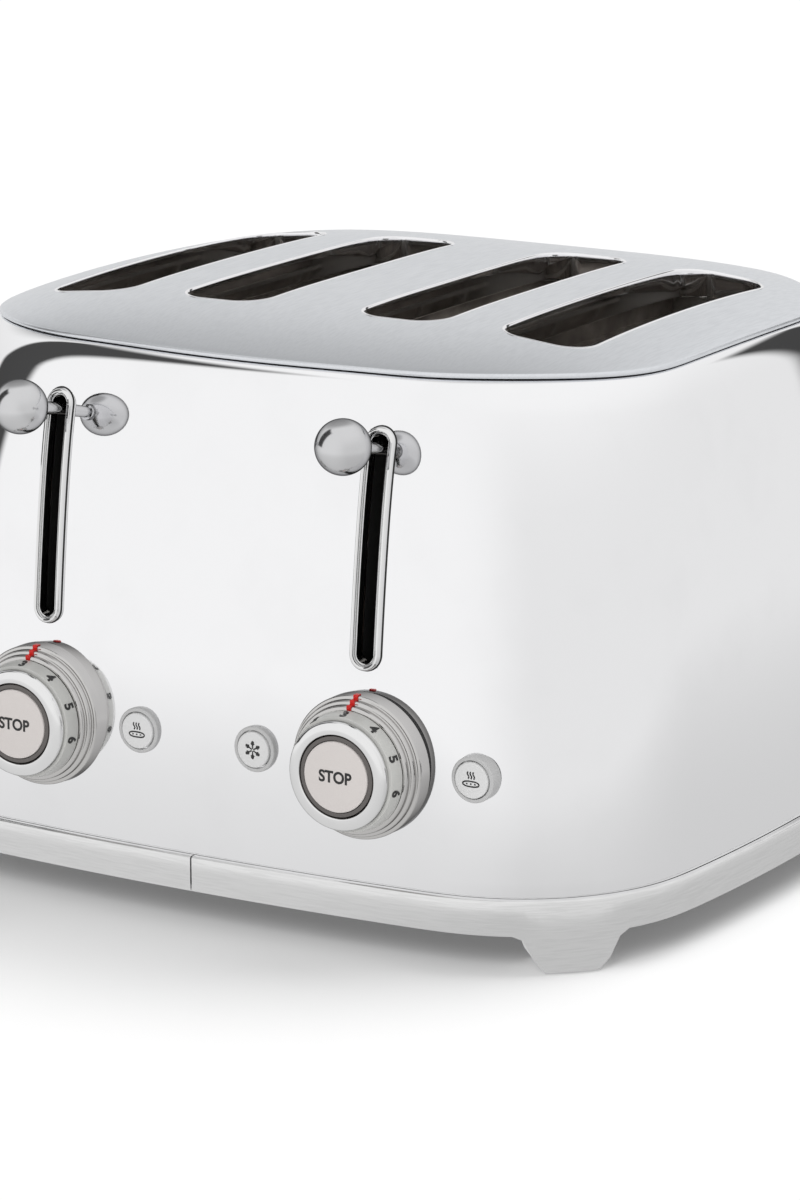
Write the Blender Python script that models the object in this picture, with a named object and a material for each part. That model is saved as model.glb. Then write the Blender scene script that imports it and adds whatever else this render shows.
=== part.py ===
"""Four-slice toaster with a polished steel shell, two levers and two dials.

Metres, +Z up. The front faces -Y and the bread slots run front to back. The origin is on the
surface that the toaster stands on, under the middle of its overall box.
"""

import math
from collections import namedtuple

import bmesh
import bpy
from mathutils import Matrix, Vector

# Clearances
touch_gap = 0.0003
running_gap = 0.0003
cut_overrun = 0.004
front_cut_depth = 0.0300
weld_overlap = 0.0006

# Facets
front_steps = 3
corner_steps = 6
side_steps = 3
round_steps = 24
button_steps = 16
sharp_angle = math.radians(35)

# Bread slots, in two pairs
pair_centre = 0.0664
slot_spacing = 0.0578
slot_length = 0.1500
slot_width = 0.0350
slot_corner = 0.0120
slot_corner_steps = 4
slot_side_steps = 6
slot_side_margin = 0.0267
slot_end_margin = 0.0520

# Plan of the top cover, round the slots, and of the wider base trim
cover_half_width = pair_centre + slot_spacing / 2 + slot_width / 2 + slot_side_margin
cover_half_depth = slot_length / 2 + slot_end_margin
cover_front_bow = 0.0160
cover_side_bow = 0.0093
cover_corner = 0.0810
base_side_spread = 0.0275
base_front_spread = 0.0263
base_front_bow = 0.0120
base_side_bow = 0.0140
base_corner = 0.0720
Plan = namedtuple("Plan", "half_width half_depth front_bow side_bow corner")
cover_plan = Plan(cover_half_width, cover_half_depth, cover_front_bow, cover_side_bow, cover_corner)
base_plan = Plan(cover_half_width + base_side_spread, cover_half_depth + base_front_spread,
                 base_front_bow, base_side_bow, base_corner)

# Base trim, a band in two halves with a foot at each corner
band_bottom = 0.0140
band_height = 0.0130
band_wall = 0.0025
band_chamfer = 0.0006
lip_width = 0.0020
lip_height = 0.0015
foot_flat = 0.0200
foot_spread = 0.0400
foot_depth = 0.0150
foot_curve_shares = (0.0, 0.12, 0.37, 0.63, 0.88, 1.0)
band_top = band_bottom + band_height

# Rubber pads let into the feet
pad_radius = 0.0055
pad_proud = 0.0008
pad_sunk = 0.0020

# Base plate
plate_thickness = 0.0020
vent_length = 0.0500
vent_width = 0.0030
vent_pitch = 0.0090
vent_count = 7
base_plate_low = band_bottom + lip_height + touch_gap
base_plate_top = base_plate_low + plate_thickness
floor_level = base_plate_top + touch_gap

# Top cover: nearly flat round the slots, falling towards its edges, with a rolled rim
crown_height = 0.2129
front_fall = 0.0091
side_fall = 0.0102
side_fall_power = 5
outline_power = 3.4
cover_thickness = 0.0014
rim_depth = 0.0022
rim_thickness = 0.0016
rim_round = 0.0012
cover_ring_shares = (0.2, 0.4, 0.58, 0.74, 0.87, 0.95)
collar_depth = 0.0105
collar_wall = 0.0010

# Shell: it leans, then rounds over under the cover
shell_wall = 0.0012
wall_lean = 0.0095
wall_crown = 0.0075
crown_power = 3
shoulder_power = 12
edge_roll = 0.0030
edge_roll_share = 0.955
cover_overhang = 0.0008
rim_gap = 0.0004
shell_flange = 0.0060
shell_outer_shares = (0.0, 0.25, 0.45, 0.62, 0.76, 0.86, 0.92, 0.955, 0.98, 0.993, 1.0)
shell_inner_shares = (1.0, 0.93, 0.76, 0.45, 0.0)
wall_search_steps = 30

# Lever slot, its bezel, and the lever's ball
bezel_drop = 0.0271
bezel_clearance = 0.0073
bezel_half_width = 0.00575
bezel_crest = 0.0022
bezel_shoulder = 0.0014
bezel_land = 0.0010
lever_slot_half_width = 0.0032
bezel_inner_crest = 0.0012
bezel_neck_wall = 0.0010
bezel_neck_depth = 0.0035
bezel_end_steps = 8
bezel_side_steps = 6
ball_radius = 0.0098
ball_stand_off = 0.0252
ball_neck_radius = 0.0036
ball_neck_reach = 0.0112
ball_rings = 9
ball_steps = 18
stem_tilt = math.radians(11.7)
stem_rest_drop = 0.00175
stem_radius = 0.0022
stem_steps = 12

# Dial, its flange, the light pipe and the stop button; depths run back from the button's face
dial_shift = 0.0006
dial_height = 0.0689
dial_projection = 0.0189
stop_radius = 0.01265
stop_edge = 0.0006
stop_thickness = 0.0012
stop_travel = 0.0020
light_ring_wall = 0.0014
light_ring_sunk = 0.0005
pipe_radius = 0.0090
pipe_wall = 0.0014
cup_floor = 0.0015
bezel_face_sunk = 0.0003
dial_bezel_radius = 0.0194
dial_bezel_round = 0.0013
dial_bezel_depth = 0.0028
drum_groove = 0.0005
drum_front_radius = 0.0204
drum_back_radius = 0.0216
drum_depth = 0.0054
flange_step_radii = (0.0229, 0.0243, 0.0257)
flange_step_depth = 0.0023
flange_step_chamfer = 0.0005
dial_centre = pair_centre + dial_shift
bezel_top = crown_height - bezel_drop
bezel_bottom = dial_height + flange_step_radii[-1] + bezel_clearance

# Small push buttons either side of each dial
inner_button_offset = 0.0427
outer_button_offset = 0.0421
inner_button_proud = 0.0024
outer_button_proud = 0.0040
button_radius = 0.0065
button_edge = 0.0005
button_cap_depth = 0.0070
button_stem_radius = 0.0025
button_travel = 0.0015
collar_radius = 0.0083
collar_sunk = 0.0008
collar_neck_wall = 0.0009
collar_neck_depth = 0.0030

# Control boards
board_setback = 0.0215
board_thickness = 0.0016
board_half_width = 0.0510
board_top_margin = 0.0272
chip_size = 0.0140
chip_height = 0.0030

# Bulkheads, side reflectors and heater boards
bulkhead_margin = 0.0090
sheet = 0.0010
reflector_clearance = 0.0175
bulkhead_drop = 0.0254
bulkhead_crown_drop = 0.0119
crown_taper = 0.0080
bulkhead_flange = 0.0340
flange_taper = 0.0220
carriage_slot_width = 0.0080
carriage_slot_low = 0.0460
carriage_slot_margin = 0.0095
heater_clearance = 0.0040
heater_low = 0.0560
heater_drop = 0.0104
heater_thickness = 0.0010
ribbon_count = 7
ribbon_width = 0.0022
ribbon_proud = 0.0005
ribbon_margin = 0.0120
reflector_low = 0.0300
bulkhead_offset = slot_length / 2 + bulkhead_margin
bulkhead_half_width = cover_half_width - reflector_clearance
bulkhead_top = crown_height - bulkhead_drop
bulkhead_crown = crown_height - bulkhead_crown_drop
crown_half_width = bulkhead_half_width - crown_taper
flange_half_width = bulkhead_half_width - flange_taper
heater_high = crown_height - heater_drop

# Bread guides
guide_thickness = 0.0016
guide_low = 0.0580
guide_drop = 0.0189
guide_bar = 0.0030
guide_wire_count = 5
guide_wire_margin = 0.0070
guide_seat = 0.0001
guide_high = crown_height - guide_drop
guide_wire_span = slot_length - 2 * guide_wire_margin

# Carriages, guide rods, springs and magnets
rod_stand_off = 0.0260
rod_radius = 0.0030
slider_half_width = 0.0080
slider_half_depth = 0.0080
slider_drop = 0.0678
slider_height = 0.0220
cross_plate_rise = 0.0020
cross_plate_height = 0.0130
cross_plate_thickness = 0.0026
cross_plate_margin = 0.0050
rack_bar_half_width = 0.0025
rack_bar_rise = 0.0060
rack_bar_height = 0.0065
rack_half_width = 0.0070
rack_rise = 0.0140
rack_thickness = 0.0030
rack_slot_margin = 0.0020
rack_end_margin = 0.0020
strap_half_width = 0.0040
strap_thickness = 0.0040
strap_overlap = 0.0030
spring_turns = 8
spring_radius = 0.0052
spring_wire = 0.0008
spring_turn_steps = 7
magnet_half_width = 0.0100
magnet_depth = 0.0110
magnet_height = 0.0220
magnet_core_radius = 0.0035
magnet_core_height = 0.0020
rod_offset = bulkhead_offset + rod_stand_off
slider_low = bezel_top - slider_drop
cross_plate_low = slider_low + cross_plate_rise
rack_bar_low = slider_low + rack_bar_rise
rack_top = slider_low + rack_rise
rack_half_length = slot_length / 2 - rack_slot_margin
carriage_slot_high = rack_bar_low + rack_bar_height + carriage_slot_margin

# Crumb trays and their pulls
tray_side_margin = 0.0010
tray_front_clearance = 0.0020
tray_wall_height = 0.0035
tray_sheet = 0.0008
tray_end_margin = 0.0174
tray_window_gap = 0.0006
tray_neck_height = 0.0066
pull_thickness = 0.0020
pull_low = 0.0146
pull_height = 0.0118
pull_margin = 0.0020
pull_steps = 8
tray_inner_end = base_plan.half_depth - tray_end_margin

# Cord gland in the base plate
gland_stand_off = 0.0340
gland_radius = 0.0065
gland_bore = 0.0036
gland_flange_radius = 0.0090
gland_flange = 0.0020
gland_reach = 0.0050
gland_offset = bulkhead_offset + gland_stand_off

SIDES = (("left", -1), ("right", 1))


# Plan outlines

def mixed_plan(first, second, share):
    """A plan part of the way from one plan to another."""
    return Plan(*(a + (b - a) * share for a, b in zip(first, second)))


def inset_plan(plan, inset):
    """The plan with its walls moved inwards."""
    return Plan(plan.half_width - inset, plan.half_depth - inset,
                plan.front_bow, plan.side_bow, plan.corner - inset)


def plan_arcs(plan):
    """Centres and radii of the front, corner and side arcs, and the two angles where they join."""
    front_radius = (plan.half_width ** 2 + plan.front_bow ** 2) / (2 * plan.front_bow)
    side_radius = (plan.half_depth ** 2 + plan.side_bow ** 2) / (2 * plan.side_bow)
    front = Vector((0, front_radius - plan.half_depth))
    side = Vector((plan.half_width - side_radius, 0))
    between = side - front
    span = between.length
    near = front_radius - plan.corner
    far = side_radius - plan.corner
    along = (near ** 2 - far ** 2 + span ** 2) / (2 * span)
    across = math.sqrt(near ** 2 - along ** 2)
    unit = between / span
    corner = front + unit * along + Vector((-unit.y, unit.x)) * across
    if corner.x < 0 or corner.y > 0:
        corner = front + unit * along - Vector((-unit.y, unit.x)) * across
    start = math.atan2(corner.y - front.y, corner.x - front.x)
    end = math.atan2(corner.y - side.y, corner.x - side.x)
    return front, front_radius, corner, side, side_radius, start, end


def quarter_points(plan, extra_angles=()):
    """Points from the front centre round one corner to the side's middle."""
    front, front_radius, corner, side, side_radius, start, end = plan_arcs(plan)
    points = []
    for i in range(front_steps):
        angle = -math.pi / 2 + (start + math.pi / 2) * i / front_steps
        points.append(front + front_radius * Vector((math.cos(angle), math.sin(angle))))
    angles = [start + (end - start) * i / corner_steps for i in range(corner_steps + 1)]
    for angle in sorted(angles + list(extra_angles)):
        points.append(corner + plan.corner * Vector((math.cos(angle), math.sin(angle))))
    for i in range(1, side_steps + 1):
        angle = end * (1 - i / side_steps)
        points.append(side + side_radius * Vector((math.cos(angle), math.sin(angle))))
    return points


def half_points(plan, extra_angles=()):
    """Points from the front centre round the right side to the back centre."""
    quarter = quarter_points(plan, extra_angles)
    return quarter + [Vector((p.x, -p.y)) for p in reversed(quarter[:-1])]


def ring_points(plan):
    """The whole outline, counter-clockwise from the front centre."""
    half = half_points(plan)
    return half + [Vector((-p.x, p.y)) for p in reversed(half[1:-1])]


def front_edge(plan, x):
    """How far forward the outline lies at x."""
    front, front_radius, corner, _side, _side_radius, start, _end = plan_arcs(plan)
    join = front.x + front_radius * math.cos(start)
    if abs(x) <= join:
        return front_radius - math.sqrt(front_radius ** 2 - x ** 2) - plan.half_depth
    return corner.y - math.sqrt(plan.corner ** 2 - (abs(x) - corner.x) ** 2)


# Cover and wall surfaces

def dome_height(x, y):
    """Height of the cover's top surface."""
    across = abs(x / cover_plan.half_width)
    along = abs(y / cover_plan.half_depth)
    reach = (across ** outline_power + along ** outline_power) ** (1 / outline_power)
    fall = front_fall * (along * reach) ** 2 + side_fall * across ** side_fall_power
    return crown_height - fall


shell_inset = band_wall + touch_gap
shell_low_plan = inset_plan(base_plan, shell_inset)
shell_top_plan = inset_plan(cover_plan, cover_overhang)


def wall_plan(share):
    """The shell's outline at a share of its height above the trim."""
    whole = shell_low_plan.half_depth - shell_top_plan.half_depth
    shoulder = whole - wall_lean - wall_crown - edge_roll
    drop = wall_lean * share + wall_crown * share ** crown_power
    drop += shoulder * share ** shoulder_power
    if share > edge_roll_share:
        turn = (share - edge_roll_share) / (1 - edge_roll_share)
        drop += edge_roll * (1 - math.sqrt(1 - turn ** 2))
    return mixed_plan(shell_low_plan, shell_top_plan, drop / whole)


def wall_height(share, x, y):
    """Height of the wall at a share, whose top follows the cover's rim."""
    top = dome_height(x, y) - rim_depth - rim_gap
    return band_top + (top - band_top) * share


def wall_front(x, z):
    """Where the front wall's outer face lies at x and z."""
    low, high = 0.0, 1.0
    for _ in range(wall_search_steps):
        share = (low + high) / 2
        y = front_edge(wall_plan(share), x)
        if wall_height(share, x, y) < z:
            low = share
        else:
            high = share
    return front_edge(wall_plan(share), x)


# Mesh and object helpers

def material(name, colour, metallic, roughness):
    """A plain finish for one kind of piece."""
    finish = bpy.data.materials.new(name)
    finish.use_nodes = True
    shader = finish.node_tree.nodes["Principled BSDF"]
    shader.inputs["Base Color"].default_value = (*colour, 1)
    shader.inputs["Metallic"].default_value = metallic
    shader.inputs["Roughness"].default_value = roughness
    return finish


def start_fresh():
    """Take the objects of the opened file away."""
    for thing in list(bpy.data.objects):
        bpy.data.objects.remove(thing, do_unlink=True)


def new_object(name, bm, finish=None, smooth=True):
    """Make an object from a bmesh, with its faces pointing out."""
    bmesh.ops.recalc_face_normals(bm, faces=bm.faces)
    mesh = bpy.data.meshes.new(name)
    bm.to_mesh(mesh)
    bm.free()
    if smooth:
        mesh.shade_smooth()
        mesh.set_sharp_from_angle(angle=sharp_angle)
    thing = bpy.data.objects.new(name, mesh)
    bpy.context.scene.collection.objects.link(thing)
    if finish:
        mesh.materials.append(finish)
    return thing


def add_loft(bm, rings, loop=False):
    """Skin a row of rings. A ring of one point is a pole; a row that isn't a loop gets end caps."""
    rows = [[bm.verts.new(point) for point in ring] for ring in rings]
    pairs = list(zip(rows, rows[1:]))
    if loop:
        pairs.append((rows[-1], rows[0]))
    for low, high in pairs:
        count = max(len(low), len(high))
        for i in range(count):
            j = (i + 1) % count
            if len(low) == 1:
                bm.faces.new((low[0], high[j], high[i]))
            elif len(high) == 1:
                bm.faces.new((low[i], low[j], high[0]))
            else:
                bm.faces.new((low[i], low[j], high[j], high[i]))
    if not loop:
        for end in (rows[0], rows[-1]):
            if len(end) > 1:
                bm.faces.new(end)
    return bm


def lofted(name, rings, finish=None, loop=False, smooth=True):
    return new_object(name, add_loft(bmesh.new(), rings, loop), finish, smooth)


def add_box(bm, low, high):
    """A box between two corners."""
    low, high = Vector(low), Vector(high)
    size = high - low
    frame = Matrix.Translation((low + high) / 2) @ Matrix.Diagonal((*size, 1))
    bmesh.ops.create_cube(bm, size=1, matrix=frame)
    return bm


def box(name, low, high, finish=None):
    return new_object(name, add_box(bmesh.new(), low, high), finish, False)


def circle(centre, radius, y, steps):
    """A circle facing forwards, round a centre given as x and z."""
    turns = [2 * math.pi * i / steps for i in range(steps)]
    return [Vector((centre[0] + radius * math.sin(t), y, centre[1] + radius * math.cos(t)))
            for t in turns]


def turned_rings(centre, profile, steps):
    """Rings about a front-to-back axis from points of radius and y; radius nought is a pole."""
    rings = []
    for radius, y in profile:
        if radius:
            rings.append(circle(centre, radius, y, steps))
        else:
            rings.append([Vector((centre[0], y, centre[1]))])
    return rings


def upright_ring(x, y, radius, z, steps):
    """A level circle round an upright axis."""
    turns = [2 * math.pi * i / steps for i in range(steps)]
    return [Vector((x + radius * math.cos(t), y + radius * math.sin(t), z)) for t in turns]


def flat_ring(points, z):
    return [Vector((p.x, p.y, z)) for p in points]


def rounded_rectangle(x, half_width, half_length, corner):
    """Outline of a bread slot, with points along its long sides to follow the dome."""
    points = []
    for sx, sy, first in ((1, -1, -90), (1, 1, 0), (-1, 1, 90), (-1, -1, 180)):
        centre = Vector((x + sx * (half_width - corner), sy * (half_length - corner)))
        for i in range(slot_corner_steps + 1):
            angle = math.radians(first + 90 * i / slot_corner_steps)
            points.append(centre + corner * Vector((math.cos(angle), math.sin(angle))))
        if sx * sy < 0:
            reach = sy * (half_length - corner)
            for i in range(1, slot_side_steps):
                share = 1 - 2 * i / slot_side_steps
                points.append(Vector((x + sx * half_width, reach * share)))
    return points


def combine(thing, other, operation):
    """Join or cut with another mesh, which stays behind as a hidden guide."""
    other.hide_render = True
    other.display_type = "WIRE"
    change = thing.modifiers.new(other.name, "BOOLEAN")
    change.operation = operation
    change.solver = "EXACT"
    change.object = other


def ride(things, holder):
    """Hang pieces on a holder without moving them."""
    for thing in things:
        thing.parent = holder
        thing.matrix_parent_inverse = Matrix.Translation(-Vector(holder.location))


def axis_empty(name, place):
    """A holder whose origin lies on a joint's axis."""
    holder = bpy.data.objects.new(name, None)
    holder.location = place
    bpy.context.scene.collection.objects.link(holder)
    return holder


# Outer pieces

def build_shell(finish, cutters):
    outer = [flat_ring(ring_points(wall_plan(0)), floor_level)]
    for share in shell_outer_shares:
        points = ring_points(wall_plan(share))
        outer.append([Vector((p.x, p.y, wall_height(share, p.x, p.y))) for p in points])
    flange = inset_plan(wall_plan(1), shell_flange)
    points = ring_points(flange)
    outer.append([Vector((p.x, p.y, wall_height(1, p.x, p.y))) for p in points])
    inner = [[Vector((p.x, p.y, wall_height(1, p.x, p.y) - shell_wall)) for p in points]]
    for share in shell_inner_shares:
        points = ring_points(inset_plan(wall_plan(share), shell_wall))
        top_drop = shell_wall if share == 1 else 0
        inner.append([Vector((p.x, p.y, wall_height(share, p.x, p.y) - top_drop)) for p in points])
    inner.append(flat_ring(ring_points(inset_plan(wall_plan(0), shell_wall)), floor_level))
    shell = lofted("body_shell", outer + inner, finish, loop=True)
    for cutter in cutters:
        combine(shell, cutter, "DIFFERENCE")
    return shell


def build_shell_cutters():
    """Openings in the shell for the levers, dials, buttons and trays."""
    fronts = bmesh.new()
    deep = base_plan.half_depth + cut_overrun
    shallow = base_plan.half_depth - front_cut_depth
    for _side, sign in SIDES:
        neck = lever_slot_half_width + bezel_neck_wall + touch_gap
        rings = []
        for y in (-deep, -shallow):
            ring = stadium(sign * pair_centre, neck)
            rings.append([Vector((x, y, z)) for x, z in ring])
        add_loft(fronts, rings)
        radius = pipe_radius + touch_gap
        rings = turned_rings((sign * dial_centre, dial_height), ((radius, -deep), (radius, -shallow)),
                             round_steps)
        add_loft(fronts, rings)
        for offset in (-inner_button_offset, outer_button_offset):
            radius = button_radius + running_gap + collar_neck_wall + touch_gap
            centre = (sign * (dial_centre + offset), dial_height)
            add_loft(fronts, turned_rings(centre, ((radius, -deep), (radius, -shallow)), button_steps))
    backs = bmesh.new()
    for _side, sign in SIDES:
        add_tray_window(backs, sign)
    return new_object("shell_front_cutter", fronts), new_object("shell_back_cutter", backs)


def tray_edges(sign):
    """The tray's two side walls in x, lower first."""
    half = slot_spacing / 2 + slot_width / 2 - tray_side_margin
    return sign * pair_centre - half, sign * pair_centre + half


def add_tray_window(bm, sign):
    low_x, high_x = tray_edges(sign)
    low = (low_x - tray_window_gap, tray_inner_end - cut_overrun, floor_level - touch_gap)
    top = floor_level + tray_neck_height + 2 * touch_gap
    high = (high_x + tray_window_gap, base_plan.half_depth + cut_overrun, top)
    return add_box(bm, low, high)


def build_cover(finish):
    plan = cover_plan
    outline = ring_points(plan)

    def level(points, drop):
        return [Vector((p.x, p.y, dome_height(p.x, p.y) - drop)) for p in points]

    rings = [[Vector((0, 0, crown_height))]]
    for share in cover_ring_shares:
        rings.append(level([p * share for p in outline], 0))
    rings.append(level(ring_points(inset_plan(plan, 2 * rim_round)), 0))
    rings.append(level(ring_points(inset_plan(plan, rim_round / 2)), rim_round / 3))
    rings.append(level(outline, rim_round))
    rings.append(level(outline, rim_depth - rim_round / 2))
    rings.append(level(ring_points(inset_plan(plan, rim_round / 2)), rim_depth))
    rings.append(level(ring_points(inset_plan(plan, rim_thickness)), rim_depth))
    under = inset_plan(plan, rim_thickness + cover_thickness)
    rings.append(level(ring_points(under), cover_thickness + rim_round / 2))
    for share in cover_ring_shares[::-2]:
        rings.append(level([p * share for p in outline], cover_thickness))
    rings.append([Vector((0, 0, crown_height - cover_thickness))])
    cover = lofted("top_cover", rings, finish)
    collars = bmesh.new()
    holes = bmesh.new()
    for x in slot_centres():
        wall = collar_wall
        outer = rounded_rectangle(x, slot_width / 2 + wall, slot_length / 2 + wall, slot_corner + wall)
        spare = weld_overlap
        inner = rounded_rectangle(x, slot_width / 2 - spare, slot_length / 2 - spare,
                                  slot_corner - spare)
        add_loft(collars, [level(outer, collar_depth), level(outer, cover_thickness / 2),
                           level(inner, cover_thickness / 2), level(inner, collar_depth)], loop=True)
        points = rounded_rectangle(x, slot_width / 2, slot_length / 2, slot_corner)
        low = crown_height - front_fall - collar_depth - cut_overrun
        add_loft(holes, [flat_ring(points, low), flat_ring(points, crown_height + cut_overrun)])
    combine(cover, new_object("cover_collars", collars), "UNION")
    combine(cover, new_object("cover_slot_cutter", holes), "DIFFERENCE")
    return cover


def slot_centres():
    """The four bread slots from left to right."""
    near = pair_centre - slot_spacing / 2
    far = pair_centre + slot_spacing / 2
    return (-far, -near, near, far)


def foot_angles():
    """Extra outline angles that draw a foot's curved sides."""
    _front, _radius, _corner, _side, _side_radius, start, end = plan_arcs(base_plan)
    middle = (start + end) / 2
    angles = []
    for share in foot_curve_shares:
        reach = foot_flat / 2 + (foot_spread - foot_flat) / 2 * share
        angles += [middle - reach / base_plan.corner, middle + reach / base_plan.corner]
    return [angle for angle in angles if abs(angle - middle) > 0]


def foot_share(point):
    """How much of a foot there is at a point of the outline: one on its flat, nought beyond."""
    _front, _radius, corner, _side, _side_radius, start, end = plan_arcs(base_plan)
    angle = math.atan2(-abs(point.y) - corner.y, point.x - corner.x)
    reach = abs(angle - (start + end) / 2) * base_plan.corner
    share = (foot_spread / 2 - reach) / ((foot_spread - foot_flat) / 2)
    share = min(1, max(0, share))
    return share * share * (3 - 2 * share)


def build_trim(side, sign, finish):
    angles = foot_angles()
    outer = half_points(base_plan, angles)
    columns = {}
    for key, inset in (("edge", band_chamfer), ("wall", band_wall)):
        columns[key] = offset_points(outer, inset)
    sections = []
    for i, point in enumerate(outer):
        share = foot_share(point)
        low = band_bottom - (band_bottom - pad_proud) * share
        lip = offset_points(outer, band_wall + lip_width + foot_depth * share)[i]
        edge, wall = columns["edge"][i], columns["wall"][i]
        ledge = band_bottom + lip_height
        section = [(point, band_top - band_chamfer), (point, low + band_chamfer), (edge, low),
                   (lip, low), (lip, ledge), (wall, ledge), (wall, band_top), (edge, band_top)]
        sections.append([Vector((sign * p.x, p.y, z)) for p, z in section])
    for point in sections[0] + sections[-1]:
        point.x = sign * touch_gap / 2
    trim = lofted("base_trim_" + side, sections, finish)
    window = new_object("tray_window_" + side, add_tray_window(bmesh.new(), sign))
    combine(trim, window, "DIFFERENCE")
    pockets = bmesh.new()
    for place in foot_places(sign):
        rings = [upright_ring(place.x, place.y, pad_radius + touch_gap, z, button_steps)
                 for z in (-cut_overrun, pad_sunk + pad_proud + touch_gap)]
        add_loft(pockets, rings)
    combine(trim, new_object("pad_pockets_" + side, pockets), "DIFFERENCE")
    return trim


def offset_points(points, inset):
    """The half outline moved inwards, point by point, along each point's own normal."""
    front, _radius, corner, side, _side_radius, start, end = plan_arcs(base_plan)
    moved = []
    for point in points:
        mirrored = Vector((point.x, -abs(point.y)))
        angle = math.atan2(mirrored.y - corner.y, mirrored.x - corner.x)
        if angle < start:
            centre = front
        elif angle > end:
            centre = side
        else:
            centre = corner
        inward = (centre - mirrored).normalized()
        shifted = mirrored + inward * inset
        moved.append(Vector((shifted.x, math.copysign(shifted.y, point.y if point.y else -1))))
    return moved


def foot_places(sign):
    """Middles of the two feet on one side, front first."""
    _front, _radius, corner, _side, _side_radius, start, end = plan_arcs(base_plan)
    middle = (start + end) / 2
    reach = base_plan.corner - (band_wall + lip_width + foot_depth) / 2
    place = corner + reach * Vector((math.cos(middle), math.sin(middle)))
    return [Vector((sign * place.x, place.y)), Vector((sign * place.x, -place.y))]


def build_pads(finish):
    pads = []
    for side, sign in SIDES:
        for end, place in zip(("front", "rear"), foot_places(sign)):
            rings = [upright_ring(place.x, place.y, pad_radius - button_edge, 0, button_steps),
                     upright_ring(place.x, place.y, pad_radius, button_edge, button_steps),
                     upright_ring(place.x, place.y, pad_radius, pad_sunk + pad_proud, button_steps)]
            pads.append(lofted("foot_pad_" + end + "_" + side, rings, finish))
    return pads


def build_base_plate(finish):
    plan = inset_plan(base_plan, band_wall + touch_gap)
    points = ring_points(plan)
    plate = lofted("base_plate", [flat_ring(points, base_plate_low), flat_ring(points, base_plate_top)],
                   finish, smooth=False)
    vents = bmesh.new()
    for x in slot_centres():
        for i in range(vent_count):
            y = (i - (vent_count - 1) / 2) * vent_pitch
            half = vent_width / 2
            reach = slot_width / 2
            add_box(vents, (x - reach, y - half, base_plate_low - cut_overrun),
                    (x + reach, y + half, base_plate_top + cut_overrun))
    rings = [upright_ring(0, gland_offset, gland_radius + touch_gap, z, button_steps)
             for z in (base_plate_low - cut_overrun, base_plate_top + cut_overrun)]
    add_loft(vents, rings)
    combine(plate, new_object("base_vent_cutter", vents), "DIFFERENCE")
    return plate


def build_gland(finish):
    def ring(radius, z):
        return upright_ring(0, gland_offset, radius, z, button_steps)

    low = base_plate_low - gland_reach
    rings = [ring(gland_radius - button_edge, low), ring(gland_radius, low + button_edge),
             ring(gland_radius, floor_level), ring(gland_flange_radius, floor_level),
             ring(gland_flange_radius, floor_level + gland_flange),
             ring(gland_bore, floor_level + gland_flange), ring(gland_bore, low)]
    return lofted("cord_gland", rings, finish, loop=True)


# Levers

def stadium(x, half_width):
    """Outline of the lever slot at a half width, as x and z, with round ends."""
    high = bezel_top - bezel_half_width
    low = bezel_bottom + bezel_half_width
    points = []
    for near, far, sign in ((high, low, 1), (low, high, -1)):
        for i in range(bezel_end_steps + 1):
            angle = math.pi * i / bezel_end_steps
            points.append((x + sign * half_width * math.cos(angle),
                           near + sign * half_width * math.sin(angle)))
        for i in range(1, bezel_side_steps):
            points.append((x - sign * half_width, near + (far - near) * i / bezel_side_steps))
    return points


def build_bezel(side, sign, finish):
    neck = lever_slot_half_width + bezel_neck_wall
    crest_edge = bezel_half_width - bezel_land
    section = ((bezel_half_width, touch_gap), (bezel_half_width, bezel_shoulder),
               (crest_edge, bezel_crest), (crest_edge - bezel_land, bezel_crest),
               (lever_slot_half_width, bezel_inner_crest),
               (lever_slot_half_width, -bezel_neck_depth), (neck, -bezel_neck_depth),
               (neck, touch_gap))
    rings = []
    for half_width, proud in section:
        points = stadium(sign * pair_centre, half_width)
        rings.append([Vector((x, wall_front(x, z) - proud, z)) for x, z in points])
    return lofted("lever_bezel_" + side, rings, finish, loop=True)


def stem_root(sign):
    """Where the stem's middle line meets the wall at rest."""
    z = bezel_top - bezel_half_width - stem_rest_drop
    x = sign * pair_centre
    return Vector((x, wall_front(x, z), z))


def stem_direction():
    return Vector((0, -math.cos(stem_tilt), math.sin(stem_tilt)))


def ball_centre(sign):
    return stem_root(sign) + stem_direction() * ball_stand_off


def build_ball(side, sign, finish):
    centre = ball_centre(sign)
    towards = -stem_direction()
    across = Vector((1, 0, 0))
    upward = towards.cross(across)

    def ring(radius, along):
        turns = [2 * math.pi * i / ball_steps for i in range(ball_steps)]
        return [centre + towards * along + radius * (across * math.cos(t) + upward * math.sin(t))
                for t in turns]

    neck_angle = math.asin(ball_neck_radius / ball_radius)
    rings = [[centre - towards * ball_radius]]
    for i in range(1, ball_rings + 1):
        angle = math.pi - (math.pi - neck_angle) * i / ball_rings
        rings.append(ring(ball_radius * math.sin(angle), ball_radius * math.cos(angle)))
    rings.append(ring(ball_neck_radius, ball_neck_reach))
    return lofted("lever_ball_" + side, rings, finish)


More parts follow.
